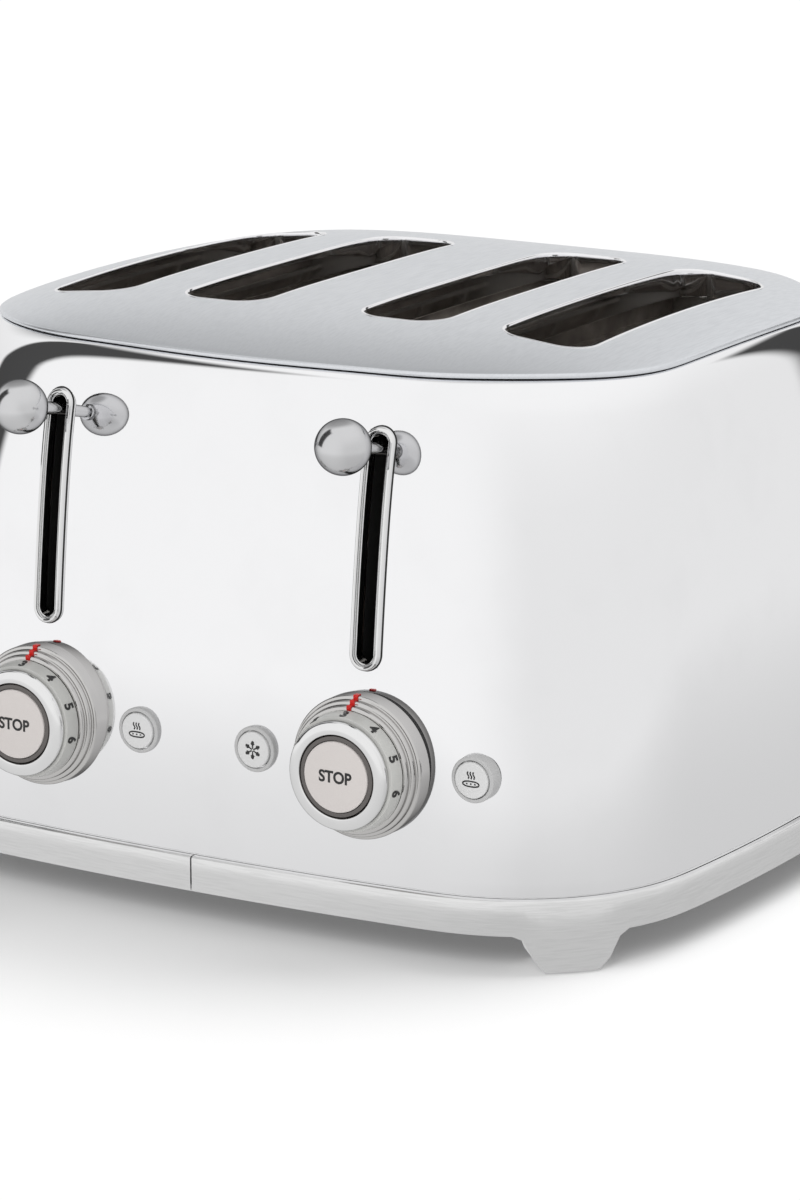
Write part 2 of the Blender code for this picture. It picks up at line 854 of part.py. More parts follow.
def build_carriage(side, sign, finish):
    x = sign * pair_centre
    front = -rod_offset - slider_half_depth
    back = -rod_offset + slider_half_depth
    carriage = box("bread_carriage_" + side, (x - slider_half_width, front, slider_low),
                   (x + slider_half_width, back, slider_low + slider_height), finish)
    half = slot_spacing / 2 + cross_plate_margin
    plate_back = back + cross_plate_thickness
    parts = [box("cross_plate_" + side, (x - half, back - weld_overlap, cross_plate_low),
                 (x + half, plate_back, cross_plate_low + cross_plate_height))]
    for name, slot_x in (("inner", x - slot_spacing / 2), ("outer", x + slot_spacing / 2)):
        bar_top = rack_bar_low + rack_bar_height
        low = (slot_x - rack_bar_half_width, plate_back - weld_overlap, rack_bar_low)
        high = (slot_x + rack_bar_half_width, rack_half_length + rack_end_margin, bar_top)
        parts.append(box("rack_bar_" + name + side, low, high))
        low = (slot_x - rack_half_width, -rack_half_length, rack_top - rack_thickness)
        high = (slot_x + rack_half_width, rack_half_length, rack_top)
        parts.append(box("rack_shelf_" + name + side, low, high))
    root = stem_root(sign)
    towards = -stem_direction()
    strap_back = front + strap_thickness
    run = (strap_back - weld_overlap - root.y) / towards.y
    inner_end = root + towards * run
    strap_top = inner_end.z + 2 * stem_radius
    parts.append(box("lever_strap_" + side,
                     (x - strap_half_width, front + weld_overlap,
                      slider_low + slider_height - strap_overlap),
                     (x + strap_half_width, strap_back, strap_top)))
    outer_end = ball_centre(sign) + towards * (ball_neck_reach + touch_gap)
    across = Vector((stem_radius, 0, 0))
    upward = Vector((0, math.sin(stem_tilt), math.cos(stem_tilt))) * stem_radius
    turns = [2 * math.pi * i / stem_steps for i in range(stem_steps)]
    rings = [[end + across * math.cos(t) + upward * math.sin(t) for t in turns]
             for end in (outer_end, inner_end)]
    parts.append(lofted("lever_stem_" + side, rings))
    for part in parts:
        combine(carriage, part, "UNION")
    bore = rod_radius + running_gap
    rings = [upright_ring(x, -rod_offset, bore, z, button_steps)
             for z in (slider_low - cut_overrun, slider_low + slider_height + cut_overrun)]
    combine(carriage, lofted("rod_bore_" + side, rings), "DIFFERENCE")
    return carriage


def build_rod(side, sign, finish):
    x = sign * pair_centre
    rings = [upright_ring(x, -rod_offset, rod_radius, z, button_steps)
             for z in (floor_level, bulkhead_top)]
    return lofted("guide_rod_" + side, rings, finish)


def build_spring(side, sign, finish):
    """A compression spring on the rod, wound as one wire and closed at its ends."""
    x = sign * pair_centre
    low = floor_level + spring_wire
    high = slider_low - touch_gap - spring_wire
    count = spring_turns * spring_turn_steps
    rings = []
    for i in range(count + 1):
        share = i / count
        turn = 2 * math.pi * spring_turns * share
        out = Vector((math.cos(turn), math.sin(turn), 0))
        middle = Vector((x, -rod_offset, low + (high - low) * share)) + out * spring_radius
        half = spring_wire
        rings.append([middle + out * half, middle + Vector((0, 0, half)), middle - out * half,
                      middle - Vector((0, 0, half))])
    return lofted("return_spring_" + side, rings, finish)


def build_magnet(side, sign, finish):
    x = sign * pair_centre
    back = -bulkhead_offset - sheet / 2 - touch_gap
    front = back - magnet_depth
    magnet = box("latch_magnet_" + side, (x - magnet_half_width, front, floor_level),
                 (x + magnet_half_width, back, floor_level + magnet_height), finish)
    middle = (front + back) / 2
    top = floor_level + magnet_height
    rings = [upright_ring(x, middle, magnet_core_radius, z, button_steps)
             for z in (top - weld_overlap, top + magnet_core_height)]
    combine(magnet, lofted("magnet_core_" + side, rings), "UNION")
    return magnet


# Dials and buttons

def stop_face(sign):
    """The plane of the stop button's face."""
    return wall_front(sign * dial_centre, dial_height) - dial_projection


def board_front(sign):
    """The front face of the control board."""
    return wall_front(sign * dial_centre, dial_height) + board_setback


def build_stop_button(side, sign, finish):
    face = stop_face(sign)
    plunger = pipe_radius - pipe_wall - running_gap
    end = board_front(sign) - touch_gap - stop_travel
    profile = ((0, face), (stop_radius - stop_edge, face), (stop_radius, face + stop_edge),
               (stop_radius, face + stop_thickness), (plunger, face + stop_thickness),
               (plunger, end), (0, end))
    return lofted("stop_button_" + side, turned_rings((sign * dial_centre, dial_height), profile,
                                                       round_steps), finish)


def cup_depth():
    """How far behind the stop face the light pipe's cup has its floor."""
    return stop_thickness + stop_travel + touch_gap


def build_light_pipe(side, sign, finish):
    face = stop_face(sign)
    inner = stop_radius + running_gap
    outer = inner + light_ring_wall
    floor = face + cup_depth()
    end = board_front(sign) - touch_gap
    bore = pipe_radius - pipe_wall
    front = face + light_ring_sunk
    profile = ((inner, front), (outer, front), (outer, floor + cup_floor),
               (pipe_radius, floor + cup_floor), (pipe_radius, end), (bore, end), (bore, floor),
               (inner, floor))
    return lofted("light_ring_" + side, turned_rings((sign * dial_centre, dial_height), profile,
                                                     round_steps), finish, loop=True)


def dial_back_depth():
    return bezel_face_sunk + dial_bezel_depth + drum_groove + drum_depth


def build_dial(side, sign, finish):
    face = stop_face(sign) + bezel_face_sunk
    bore = stop_radius + running_gap + light_ring_wall + running_gap
    hub = pipe_radius + running_gap
    web = stop_face(sign) + cup_depth() + cup_floor + touch_gap
    bezel_end = face + dial_bezel_depth
    drum_start = bezel_end + drum_groove
    drum_end = drum_start + drum_depth
    rounded = dial_bezel_radius - dial_bezel_round
    profile = ((bore, face + dial_bezel_round / 2), (bore + dial_bezel_round / 2, face),
               (rounded, face + dial_bezel_round / 3), (dial_bezel_radius, face + dial_bezel_round),
               (dial_bezel_radius, bezel_end), (dial_bezel_radius - drum_groove, drum_start),
               (drum_front_radius, drum_start), (drum_back_radius, drum_end), (hub, drum_end),
               (hub, web), (bore, web))
    return lofted("dial_" + side, turned_rings((sign * dial_centre, dial_height), profile,
                                               round_steps), finish, loop=True)


def build_flange(side, sign, finish):
    """A stepped flange whose back follows the leaning wall."""
    centre = (sign * dial_centre, dial_height)
    depth = stop_face(sign) + dial_back_depth() + touch_gap
    hub = pipe_radius + running_gap
    first = flange_step_radii[0] - flange_step_chamfer
    profile = [(hub, depth), (first, depth)]
    for radius in flange_step_radii:
        profile.append((radius, depth + flange_step_chamfer))
        depth += flange_step_depth
        profile.append((radius, depth))
    rings = turned_rings(centre, profile[:-1], round_steps)
    for radius in (flange_step_radii[-1], hub):
        ring = circle(centre, radius, 0, round_steps)
        rings.append([Vector((p.x, wall_front(p.x, p.z) - touch_gap, p.z)) for p in ring])
    return lofted("dial_flange_" + side, rings, finish, loop=True)


def button_layout():
    """Name, x and how far the face stands out, for each small button."""
    inner = dial_centre - inner_button_offset
    outer = dial_centre + outer_button_offset
    return (("defrost_left", -outer, outer_button_proud), ("reheat_left", -inner, inner_button_proud),
            ("defrost_right", inner, inner_button_proud), ("reheat_right", outer, outer_button_proud))


def build_small_buttons(button_finish, collar_finish):
    made = {}
    for name, x, proud in button_layout():
        centre = (x, dial_height)
        wall = wall_front(x, dial_height)
        face = wall - proud
        cap_end = face + button_cap_depth
        sign = 1 if x > 0 else -1
        end = board_front(sign) - touch_gap - button_travel
        profile = ((0, face), (button_radius - button_edge, face), (button_radius, face + button_edge),
                   (button_radius, cap_end), (button_stem_radius, cap_end), (button_stem_radius, end),
                   (0, end))
        made[name] = lofted(name + "_button", turned_rings(centre, profile, button_steps), button_finish)
        bore = button_radius + running_gap
        neck = bore + collar_neck_wall
        front = face + collar_sunk
        rings = turned_rings(centre, ((bore, front), (collar_radius - button_edge, front),
                                      (collar_radius, front + button_edge)), button_steps)
        for radius in (collar_radius, neck):
            ring = circle(centre, radius, 0, button_steps)
            rings.append([Vector((p.x, wall_front(p.x, p.z) - touch_gap, p.z)) for p in ring])
        inside = wall + collar_neck_depth
        rings += turned_rings(centre, ((neck, inside), (bore, inside)), button_steps)
        lofted(name + "_collar", rings, collar_finish, loop=True)
    return made


def build_board(side, sign, finish):
    front = board_front(sign)
    x = sign * dial_centre
    board = box("control_board_" + side, (x - board_half_width, front, floor_level),
                (x + board_half_width, front + board_thickness, dial_height + board_top_margin), finish)
    half = chip_size / 2
    back = front + board_thickness
    for name, offset in (("near", -chip_size), ("far", chip_size)):
        low = (x + offset - half, back - weld_overlap, dial_height - half)
        high = (x + offset + half, back + chip_height, dial_height + half)
        combine(board, box("chip_" + name + side, low, high), "UNION")
    return board


# Chassis inside

def bulkhead_sheet(name, middle, finish):
    """An upright sheet whose top corners are cut away under the shell's shoulder."""
    half = [(bulkhead_half_width, floor_level), (bulkhead_half_width, bulkhead_top),
            (crown_half_width, bulkhead_crown)]
    outline = half + [(-x, z) for x, z in reversed(half)]
    rings = [[Vector((x, y, z)) for x, z in outline] for y in (middle - sheet / 2, middle + sheet / 2)]
    return lofted(name, rings, finish, smooth=False)


def build_front_bulkhead(finish):
    face = -bulkhead_offset
    bulkhead = bulkhead_sheet("front_bulkhead", face, finish)
    shelf = box("bulkhead_shelf", (-flange_half_width, face - bulkhead_flange, bulkhead_top - sheet),
                (flange_half_width, face, bulkhead_top))
    combine(bulkhead, shelf, "UNION")
    holes = bmesh.new()
    for x in slot_centres():
        half = carriage_slot_width / 2
        add_box(holes, (x - half, face - cut_overrun, carriage_slot_low),
                (x + half, face + cut_overrun, carriage_slot_high))
    for _side, sign in SIDES:
        rings = [upright_ring(sign * pair_centre, -rod_offset, rod_radius + touch_gap, z, button_steps)
                 for z in (bulkhead_top - cut_overrun, bulkhead_top + cut_overrun)]
        add_loft(holes, rings)
    combine(bulkhead, new_object("bulkhead_cutter", holes), "DIFFERENCE")
    return bulkhead


def build_rear_bulkhead(finish):
    face = bulkhead_offset
    bulkhead = bulkhead_sheet("rear_bulkhead", face, finish)
    holes = bmesh.new()
    for _side, sign in SIDES:
        low_x, high_x = tray_edges(sign)
        add_box(holes, (low_x - tray_window_gap, face - cut_overrun, floor_level - cut_overrun),
                (high_x + tray_window_gap, face + cut_overrun,
                 floor_level + tray_neck_height + touch_gap))
    combine(bulkhead, new_object("tray_passage_cutter", holes), "DIFFERENCE")
    return bulkhead


def chamber_reach():
    """Half the clear length between the bulkheads, less the seating gap."""
    return bulkhead_offset - sheet / 2 - touch_gap


def build_reflector(side, sign, finish):
    outer = sign * bulkhead_half_width
    inner = outer - sign * sheet
    return box("side_reflector_" + side, (min(outer, inner), -chamber_reach(), reflector_low),
               (max(outer, inner), chamber_reach(), bulkhead_top), finish)


def heater_places():
    """Middle planes of the heater boards from left to right."""
    reach = slot_width / 2 + heater_clearance
    near = pair_centre - slot_spacing / 2 - reach
    far = pair_centre + slot_spacing / 2 + reach
    return (-far, -pair_centre, -near, near, pair_centre, far)


def build_heater(name, x, finish):
    """A mica board with heating ribbon wound round it, as one ribbed section drawn front to back."""
    half = heater_thickness / 2
    pitch = (heater_high - heater_low - 2 * ribbon_margin) / (ribbon_count - 1)
    edge = [(half, heater_low)]
    for i in range(ribbon_count):
        z = heater_low + ribbon_margin + pitch * i
        low, high = z - ribbon_width / 2, z + ribbon_width / 2
        edge += [(half, low), (half + ribbon_proud, low), (half + ribbon_proud, high), (half, high)]
    edge.append((half, heater_high))
    outline = edge + [(-w, z) for w, z in reversed(edge)]
    rings = [[Vector((x + w, y, z)) for w, z in outline] for y in (-chamber_reach(), chamber_reach())]
    return lofted(name, rings, finish, smooth=False)


def build_guide(name, x, finish):
    """A wire grille that stands between a heater board and the bread."""
    reach = chamber_reach()
    wires = [-guide_wire_span / 2 + guide_wire_span * i / (guide_wire_count - 1)
             for i in range(guide_wire_count)]
    half = guide_thickness / 2
    stations = [-reach]
    for wire in wires:
        stations += [wire - half, wire + half]
    stations.append(reach)
    levels = (guide_low, guide_low + guide_bar, guide_high - guide_bar, guide_high)
    bm = bmesh.new()
    grid = [[bm.verts.new((x - half, y, z)) for z in levels] for y in stations]
    faces = []
    for i in range(len(stations) - 1):
        for j in range(len(levels) - 1):
            is_wire = i % 2 == 1
            if j != 1 or is_wire:
                faces.append(bm.faces.new((grid[i][j], grid[i][j + 1], grid[i + 1][j + 1],
                                           grid[i + 1][j])))
    made = bmesh.ops.extrude_face_region(bm, geom=faces)
    moved = [v for v in made["geom"] if isinstance(v, bmesh.types.BMVert)]
    bmesh.ops.translate(bm, verts=moved, vec=(guide_thickness, 0, 0))
    return new_object(name, bm, finish, False)


def build_tray(side, sign, finish):
    low_x, high_x = tray_edges(sign)
    front = -bulkhead_offset + sheet / 2 + tray_front_clearance
    bm = add_box(bmesh.new(), (low_x, front, floor_level),
                 (high_x, tray_inner_end, floor_level + tray_wall_height))
    top = max(bm.faces, key=lambda face: face.calc_center_median().z)
    bmesh.ops.inset_region(bm, faces=[top], thickness=tray_sheet, use_even_offset=True)
    bmesh.ops.translate(bm, verts=top.verts, vec=(0, 0, tray_sheet - tray_wall_height))
    tray = new_object("crumb_tray_" + side, bm, finish, False)

    def curved(name, inset_back, inset_front, low, high, margin):
        steps = [low_x + margin + (high_x - low_x - 2 * margin) * i / pull_steps
                 for i in range(pull_steps + 1)]
        back = [(x, -front_edge(inset_plan(base_plan, inset_back), x)) for x in steps]
        if inset_front is None:
            near = [(steps[-1], tray_inner_end - weld_overlap), (steps[0], tray_inner_end - weld_overlap)]
        else:
            near = [(x, -front_edge(inset_plan(base_plan, inset_front), x)) for x in reversed(steps)]
        ring = back + near
        return lofted(name, [[Vector((x, y, z)) for x, y in ring] for z in (low, high)], smooth=False)

    neck_low = floor_level
    neck = curved("tray_neck_" + side, -touch_gap - pull_thickness / 2, None, neck_low,
                  floor_level + tray_neck_height, pull_margin)
    combine(tray, neck, "UNION")
    pull = curved("tray_pull_" + side, -touch_gap - pull_thickness, -touch_gap, pull_low,
                  pull_low + pull_height, -pull_margin)
    combine(tray, pull, "UNION")
    return tray


start_fresh()

polished = material("polished_steel", (0.86, 0.87, 0.88), 1.0, 0.08)
satin = material("satin_steel", (0.72, 0.74, 0.78), 1.0, 0.3)
trim_metal = material("trim_metal", (0.78, 0.78, 0.77), 1.0, 0.28)
chrome = material("chrome", (0.82, 0.82, 0.83), 1.0, 0.06)
button_grey = material("button_grey", (0.78, 0.76, 0.74), 0.0, 0.45)
small_grey = material("small_button_grey", (0.66, 0.66, 0.66), 0.2, 0.4)
ring_grey = material("light_ring", (0.30, 0.28, 0.27), 0.0, 0.3)
rubber = material("rubber", (0.05, 0.05, 0.05), 0.0, 0.8)
mica = material("mica", (0.20, 0.16, 0.13), 0.1, 0.6)
zinc = material("zinc_sheet", (0.45, 0.44, 0.42), 0.9, 0.45)
wire_steel = material("wire_steel", (0.50, 0.49, 0.47), 1.0, 0.35)
board_green = material("board_green", (0.05, 0.18, 0.09), 0.0, 0.5)
coil_brown = material("coil_brown", (0.30, 0.14, 0.06), 0.2, 0.5)
base_black = material("base_black", (0.08, 0.08, 0.08), 0.0, 0.6)

# Fixed pieces
build_shell(polished, build_shell_cutters())
build_cover(satin)
build_pads(rubber)
build_base_plate(base_black)
build_gland(rubber)
build_front_bulkhead(zinc)
build_rear_bulkhead(zinc)
for side, sign in SIDES:
    build_trim(side, sign, trim_metal)
    build_bezel(side, sign, chrome)
    build_flange(side, sign, chrome)
    build_light_pipe(side, sign, ring_grey)
    build_board(side, sign, board_green)
    build_rod(side, sign, wire_steel)
    build_spring(side, sign, wire_steel)
    build_magnet(side, sign, coil_brown)
    build_reflector(side, sign, zinc)
heater_names = ("outer_left", "middle_left", "inner_left", "inner_right", "middle_right", "outer_right")
for name, x in zip(heater_names, heater_places()):
    build_heater("heater_" + name, x, mica)

# Moving pieces, each under a holder on its joint's axis

for side, sign in SIDES:
    rod_place = Vector((sign * pair_centre, -rod_offset, 0))
    dial_place = Vector((sign * dial_centre, stop_face(sign), dial_height))
    holder = axis_empty("lever_axis_" + side, rod_place)
    ride((build_carriage(side, sign, zinc), build_ball(side, sign, chrome)), holder)
    holder = axis_empty("dial_axis_" + side, dial_place)
    ride((build_dial(side, sign, chrome), build_stop_button(side, sign, button_grey)), holder)
    build_tray(side, sign, zinc)
build_small_buttons(small_grey, chrome)

guide_offset = slot_width / 2 - guide_thickness / 2 - guide_seat
for index, x in enumerate(slot_centres()):
    for name, direction in (("a", -1), ("b", 1)):
        build_guide("bread_guide_%d%s" % (index + 1, name), x + direction * guide_offset, wire_steel)

front_reach = -ball_centre(1).y + ball_radius
back_reach = base_plan.half_depth + touch_gap + pull_thickness
shift = (front_reach - back_reach) / 2
whole = axis_empty("toaster", (0, 0, 0))
for thing in list(bpy.data.objects):
    if thing.parent is None and thing is not whole:
        thing.parent = whole
whole.location = (0, shift, 0)
print("origin shift", round(shift, 5), "overall depth", round(front_reach + back_reach, 5))
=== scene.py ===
# %% [markdown]
# # A four-slice toaster in polished steel
# This lesson dresses a measured model. The solids of the toaster are already packed as a frame, so
# each visible piece is made smoother and finer than its solid and is put in exactly the same place.
# First the frame is loaded, and the shell's box is noted: its middle gives the shift that moves each
# new piece to the frame's origin.

# %% Load the frame
import math
from collections import namedtuple

import bmesh
import bpy
import numpy as np
from mathutils import Matrix, Vector


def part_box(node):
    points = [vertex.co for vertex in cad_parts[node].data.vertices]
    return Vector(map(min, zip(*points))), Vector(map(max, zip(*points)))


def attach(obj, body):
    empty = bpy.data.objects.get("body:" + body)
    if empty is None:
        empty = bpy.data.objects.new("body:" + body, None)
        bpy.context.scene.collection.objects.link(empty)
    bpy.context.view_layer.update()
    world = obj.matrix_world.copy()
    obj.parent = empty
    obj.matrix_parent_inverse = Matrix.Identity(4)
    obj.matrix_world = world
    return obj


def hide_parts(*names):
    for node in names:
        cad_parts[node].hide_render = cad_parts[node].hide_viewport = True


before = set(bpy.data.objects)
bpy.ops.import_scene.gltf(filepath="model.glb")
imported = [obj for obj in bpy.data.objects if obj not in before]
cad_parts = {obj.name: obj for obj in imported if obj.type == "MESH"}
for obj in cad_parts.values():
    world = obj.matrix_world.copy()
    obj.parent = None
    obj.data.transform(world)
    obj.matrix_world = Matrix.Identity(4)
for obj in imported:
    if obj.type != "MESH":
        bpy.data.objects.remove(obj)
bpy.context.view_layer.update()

shell_low, shell_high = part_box("body_shell")
SHIFT = (shell_low.y + shell_high.y) / 2

# %% [markdown]
# ## Words for finishes
# A finish is a tree of nodes. Writing the tree as sums is shorter and easier to read, so a small
# class wraps the output of a node and turns + - * / into Math nodes. Another class holds one
# finish, with one method that adds any other kind of node.

# %% A socket that takes part in sums
class Wire:
    """The output of a node. Sums on it add Math nodes."""

    def __init__(self, shading, socket):
        self.shading = shading
        self.socket = socket

    def maths(self, operation, first, second=0.0):
        return self.shading.add("ShaderNodeMath", {"operation": operation}, {0: first, 1: second})

    def __add__(self, other):
        return self.maths("ADD", self, other)

    def __sub__(self, other):
        return self.maths("SUBTRACT", self, other)

    def __mul__(self, other):
        return self.maths("MULTIPLY", self, other)

    def __truediv__(self, other):
        return self.maths("DIVIDE", self, other)

    def __rsub__(self, other):
        return self.maths("SUBTRACT", other, self)

    def __rtruediv__(self, other):
        return self.maths("DIVIDE", other, self)

    __radd__ = __add__
    __rmul__ = __mul__

    def between(self, low, high):
        """Smoothly 0 below low and 1 above high."""
        feeds = {"Value": self, "From Min": low, "From Max": high}
        return self.shading.add("ShaderNodeMapRange", {"interpolation_type": "SMOOTHSTEP"}, feeds)


# %% A tree of nodes, and the one method that adds to it
class Shading:
    """Any tree of shader nodes."""

    def __init__(self, tree):
        self.tree = tree

    def add(self, kind, settings=None, feeds=None, output=0):
        node = self.tree.nodes.new(kind)
        for key, value in (settings or {}).items():
            if key == "stops":
                ramp = node.color_ramp
                while len(ramp.elements) < len(value):
                    ramp.elements.new(0.5)
                for element, (place, colour) in zip(ramp.elements, value):
                    element.position = place
                    element.color = (*colour, 1)
            else:
                setattr(node, key, value)
        for key, value in (feeds or {}).items():
            self.feed(node.inputs[key], value)
        return Wire(self, node.outputs[output]) if node.outputs else node

    def feed(self, socket, value):
        if isinstance(value, Wire):
            self.tree.links.new(value.socket, socket)
        else:
            socket.default_value = value

    def dot(self, vector, direction):
        """How far a vector points in a direction."""
        unit = Vector(direction).normalized()
        return self.add("ShaderNodeVectorMath", {"operation": "DOT_PRODUCT"}, {0: vector, 1: unit}, 1)

    def mix(self, share, first, second):
        """A colour between two colours."""
        return self.add("ShaderNodeMix", {"data_type": "RGBA"}, {0: share, 6: first, 7: second}, 2)


# %% A finish
class Finish(Shading):
    """A material with one Principled shader."""

    def __init__(self, name, colour, metallic, roughness, **constants):
        self.material = bpy.data.materials.new(name)
        self.material.use_nodes = True
        super().__init__(self.material.node_tree)
        self.shader = self.tree.nodes["Principled BSDF"]
        self.colour = (*colour, 1)
        self.roughness = roughness
        self.shader.inputs["Base Color"].default_value = self.colour
        self.shader.inputs["Metallic"].default_value = metallic
        self.shader.inputs["Roughness"].default_value = roughness
        for socket, value in constants.items():
            self.shader.inputs[socket.replace("_", " ")].default_value = value

    def drive(self, socket, value):
        self.feed(self.shader.inputs[socket], value)

    def place(self, scale=(1, 1, 1), turn=(0, 0, 0)):
        """Object coordinates, stretched and turned."""
        where = self.add("ShaderNodeTexCoord", output=3)
        return self.add("ShaderNodeMapping", {}, {"Vector": where, "Rotation": turn, "Scale": scale})

    def noise(self, size, detail=3.0, scale=(1, 1, 1)):
        """Soft mottling whose blotches are about size metres across."""
        feeds = {"Vector": self.place(scale), "Scale": 1 / size, "Detail": detail}
        return self.add("ShaderNodeTexNoise", {}, feeds)

    def bump(self, height, depth):
        """Small relief, as deep as depth metres."""
        feeds = {"Height": height, "Distance": depth, "Strength": 1.0}
        self.drive("Normal", self.add("ShaderNodeBump", {}, feeds))

    def vary(self, share, darker, roughness_change):
        """Colour and roughness that follow a share."""
        low = tuple(c * (1 - darker) for c in self.colour[:3]) + (1,)
        self.drive("Base Color", self.mix(share, self.colour, low))
        self.drive("Roughness", self.roughness + share * roughness_change)


# %% [markdown]
# ## Metals
# The shell is polished until it mirrors the room. A perfect mirror looks false, so a faint film of
# smears makes it a little rougher in places. The top cover and the trim are satin: fine scratches
# all in one direction spread the reflections, so their noise is stretched along the scratches.

# %% Bright metals
def bright_metal(name, colour, roughness, smear_size, smear_depth, edge_tint=1.0):
    """Polished metal. A low edge_tint darkens what it mirrors at a glancing angle."""
    finish = Finish(name, colour, 1.0, roughness, Specular_Tint=(edge_tint, edge_tint, edge_tint, 1))
    smears = finish.noise(smear_size, 4.0).between(0.45, 0.75)
    finish.vary(smears, 0.02, 0.035)
    finish.bump(finish.noise(smear_size * 2, 1.0), smear_depth)
    return finish.material


polished_steel = bright_metal("polished_steel", (0.93, 0.93, 0.94), 0.035, 0.03, 0.00002)
bright_chrome = bright_metal("bright_chrome", (0.84, 0.84, 0.84), 0.05, 0.008, 0.000004, 0.3)
ball_chrome = bright_metal("ball_chrome", (0.66, 0.66, 0.67), 0.14, 0.008, 0.000002, 0.1)
step_chrome = bright_metal("step_chrome", (0.62, 0.61, 0.60), 0.10, 0.008, 0.000002, 0.2)
rim_steel = bright_metal("rim_steel", (0.92, 0.92, 0.93), 0.07, 0.02, 0.000006)


# %% Satin metals
def satin_metal(name, colour, roughness, grain, stretch, depth):
    finish = Finish(name, colour, 1.0, roughness)
    scratches = finish.noise(grain, 2.0, stretch)
    finish.vary(scratches.between(0.35, 0.7), 0.05, 0.06)
    finish.bump(scratches, depth)
    return finish.material


cover_satin = satin_metal("cover_satin", (0.77, 0.79, 0.82), 0.30, 0.0006, (1, 0.06, 1), 0.000003)
trim_satin = satin_metal("trim_satin", (0.80, 0.80, 0.80), 0.20, 0.0006, (0.06, 0.06, 1), 0.000001)
zinc_sheet = satin_metal("zinc_sheet", (0.60, 0.58, 0.55), 0.42, 0.012, (1, 1, 1), 0.00004)
wire_steel = satin_metal("wire_steel", (0.66, 0.64, 0.61), 0.3, 0.001, (1, 1, 0.2), 0.00001)

# %% [markdown]
# ## Plastics, rubber and the heater boards
# Moulded plastic has a very fine grain. The heater boards are mica, which is brown, flaky and a
# little shiny, and years of crumbs darken it in patches.

# %% Plastics and prints
def plastic(name, colour, roughness, grain_depth, **constants):
    finish = Finish(name, colour, 0.0, roughness, **constants)
    grain = finish.noise(0.0004, 2.0)
    finish.vary(grain.between(0.3, 0.7), 0.03, 0.05)
    finish.bump(grain, grain_depth)
    return finish.material


stop_plastic = plastic("stop_plastic", (0.66, 0.62, 0.60), 0.42, 0.00001)
cap_plastic = plastic("cap_plastic", (0.70, 0.70, 0.70), 0.38, 0.00001, Coat_Weight=0.2)
collar_grey = plastic("collar_grey", (0.50, 0.50, 0.50), 0.3, 0.00001, Coat_Weight=0.3)
ring_smoke = plastic("ring_smoke", (0.10, 0.09, 0.085), 0.25, 0.000005, Coat_Weight=0.4)
drum_grey = plastic("drum_grey", (0.55, 0.55, 0.53), 0.3, 0.00001, Coat_Weight=0.2)
print_black = plastic("print_black", (0.012, 0.012, 0.012), 0.4, 0.000005)
mark_red = plastic("mark_red", (0.62, 0.015, 0.01), 0.35, 0.000005)
liner_black = plastic("liner_black", (0.006, 0.006, 0.006), 0.6, 0.00001)
rubber_black = plastic("rubber_black", (0.02, 0.02, 0.02), 0.75, 0.00004)
base_black = plastic("base_black", (0.03, 0.03, 0.03), 0.5, 0.00003)
board_green = plastic("board_green", (0.02, 0.12, 0.05), 0.4, 0.00001, Coat_Weight=0.3)
coil_copper = plastic("coil_copper", (0.35, 0.12, 0.04), 0.35, 0.00006, Coat_Weight=0.4)


# %% Mica
def make_mica():
    finish = Finish("mica", (0.22, 0.18, 0.15), 0.25, 0.42)
    flakes = finish.noise(0.006, 6.0)
    patches = finish.noise(0.035, 3.0).between(0.42, 0.62)
    ramp = finish.add("ShaderNodeValToRGB",
                      {"stops": [(0.0, (0.24, 0.20, 0.17)), (0.5, (0.42, 0.37, 0.33)),
                                 (1.0, (0.62, 0.57, 0.53))]},
                      {"Fac": flakes})
    finish.drive("Base Color", finish.mix(patches * 0.6, ramp, (0.13, 0.11, 0.095, 1)))
    finish.drive("Roughness", 0.3 + flakes * 0.3)
    finish.bump(flakes, 0.0002)
    return finish.material


mica = make_mica()
print("finishes made:", len(bpy.data.materials))

# %% [markdown]
# ## The plan of the body
# Seen from above, the body is a square with bowed sides and big round corners. Each plan is drawn
# with three arcs a quarter: a flat front arc, a corner arc and a flat side arc. A polished wall
# shows every jump of curvature, so the joined arcs are then eased a little, as pressing rounds them.

# %% Plans made of arcs
Plan = namedtuple("Plan", "half_width half_depth front_bow side_bow corner")
base_plan = Plan(0.1670, 0.1533, 0.0120, 0.0140, 0.0720)
cover_plan = Plan(0.1395, 0.1270, 0.0160, 0.0093, 0.0810)
AROUND = 288
ARC_STEPS = 120
EASING = 7


def inset_plan(plan, inset):
    return Plan(plan.half_width - inset, plan.half_depth - inset,
                plan.front_bow, plan.side_bow, plan.corner - inset)


def plan_arcs(plan):
    """Centres and radii of a quarter's three arcs, and the angles where they join."""
    front_radius = (plan.half_width ** 2 + plan.front_bow ** 2) / (2 * plan.front_bow)
    side_radius = (plan.half_depth ** 2 + plan.side_bow ** 2) / (2 * plan.side_bow)
    front = Vector((0, front_radius - plan.half_depth))
    side = Vector((plan.half_width - side_radius, 0))
    between = side - front
    span = between.length
    near = front_radius - plan.corner
    far = side_radius - plan.corner
    along = (near ** 2 - far ** 2 + span ** 2) / (2 * span)
    across = math.sqrt(near ** 2 - along ** 2)
    unit = between / span
    corner = front + unit * along + Vector((-unit.y, unit.x)) * across
    if corner.x < 0 or corner.y > 0:
        corner = front + unit * along - Vector((-unit.y, unit.x)) * across
    start = math.atan2(corner.y - front.y, corner.x - front.x)
    end = math.atan2(corner.y - side.y, corner.x - side.x)
    return front, front_radius, corner, side, side_radius, start, end


def arc(centre, radius, first, last):
    angles = np.linspace(first, last, ARC_STEPS, endpoint=False)
    return np.stack([centre.x + radius * np.cos(angles), centre.y + radius * np.sin(angles)], 1)


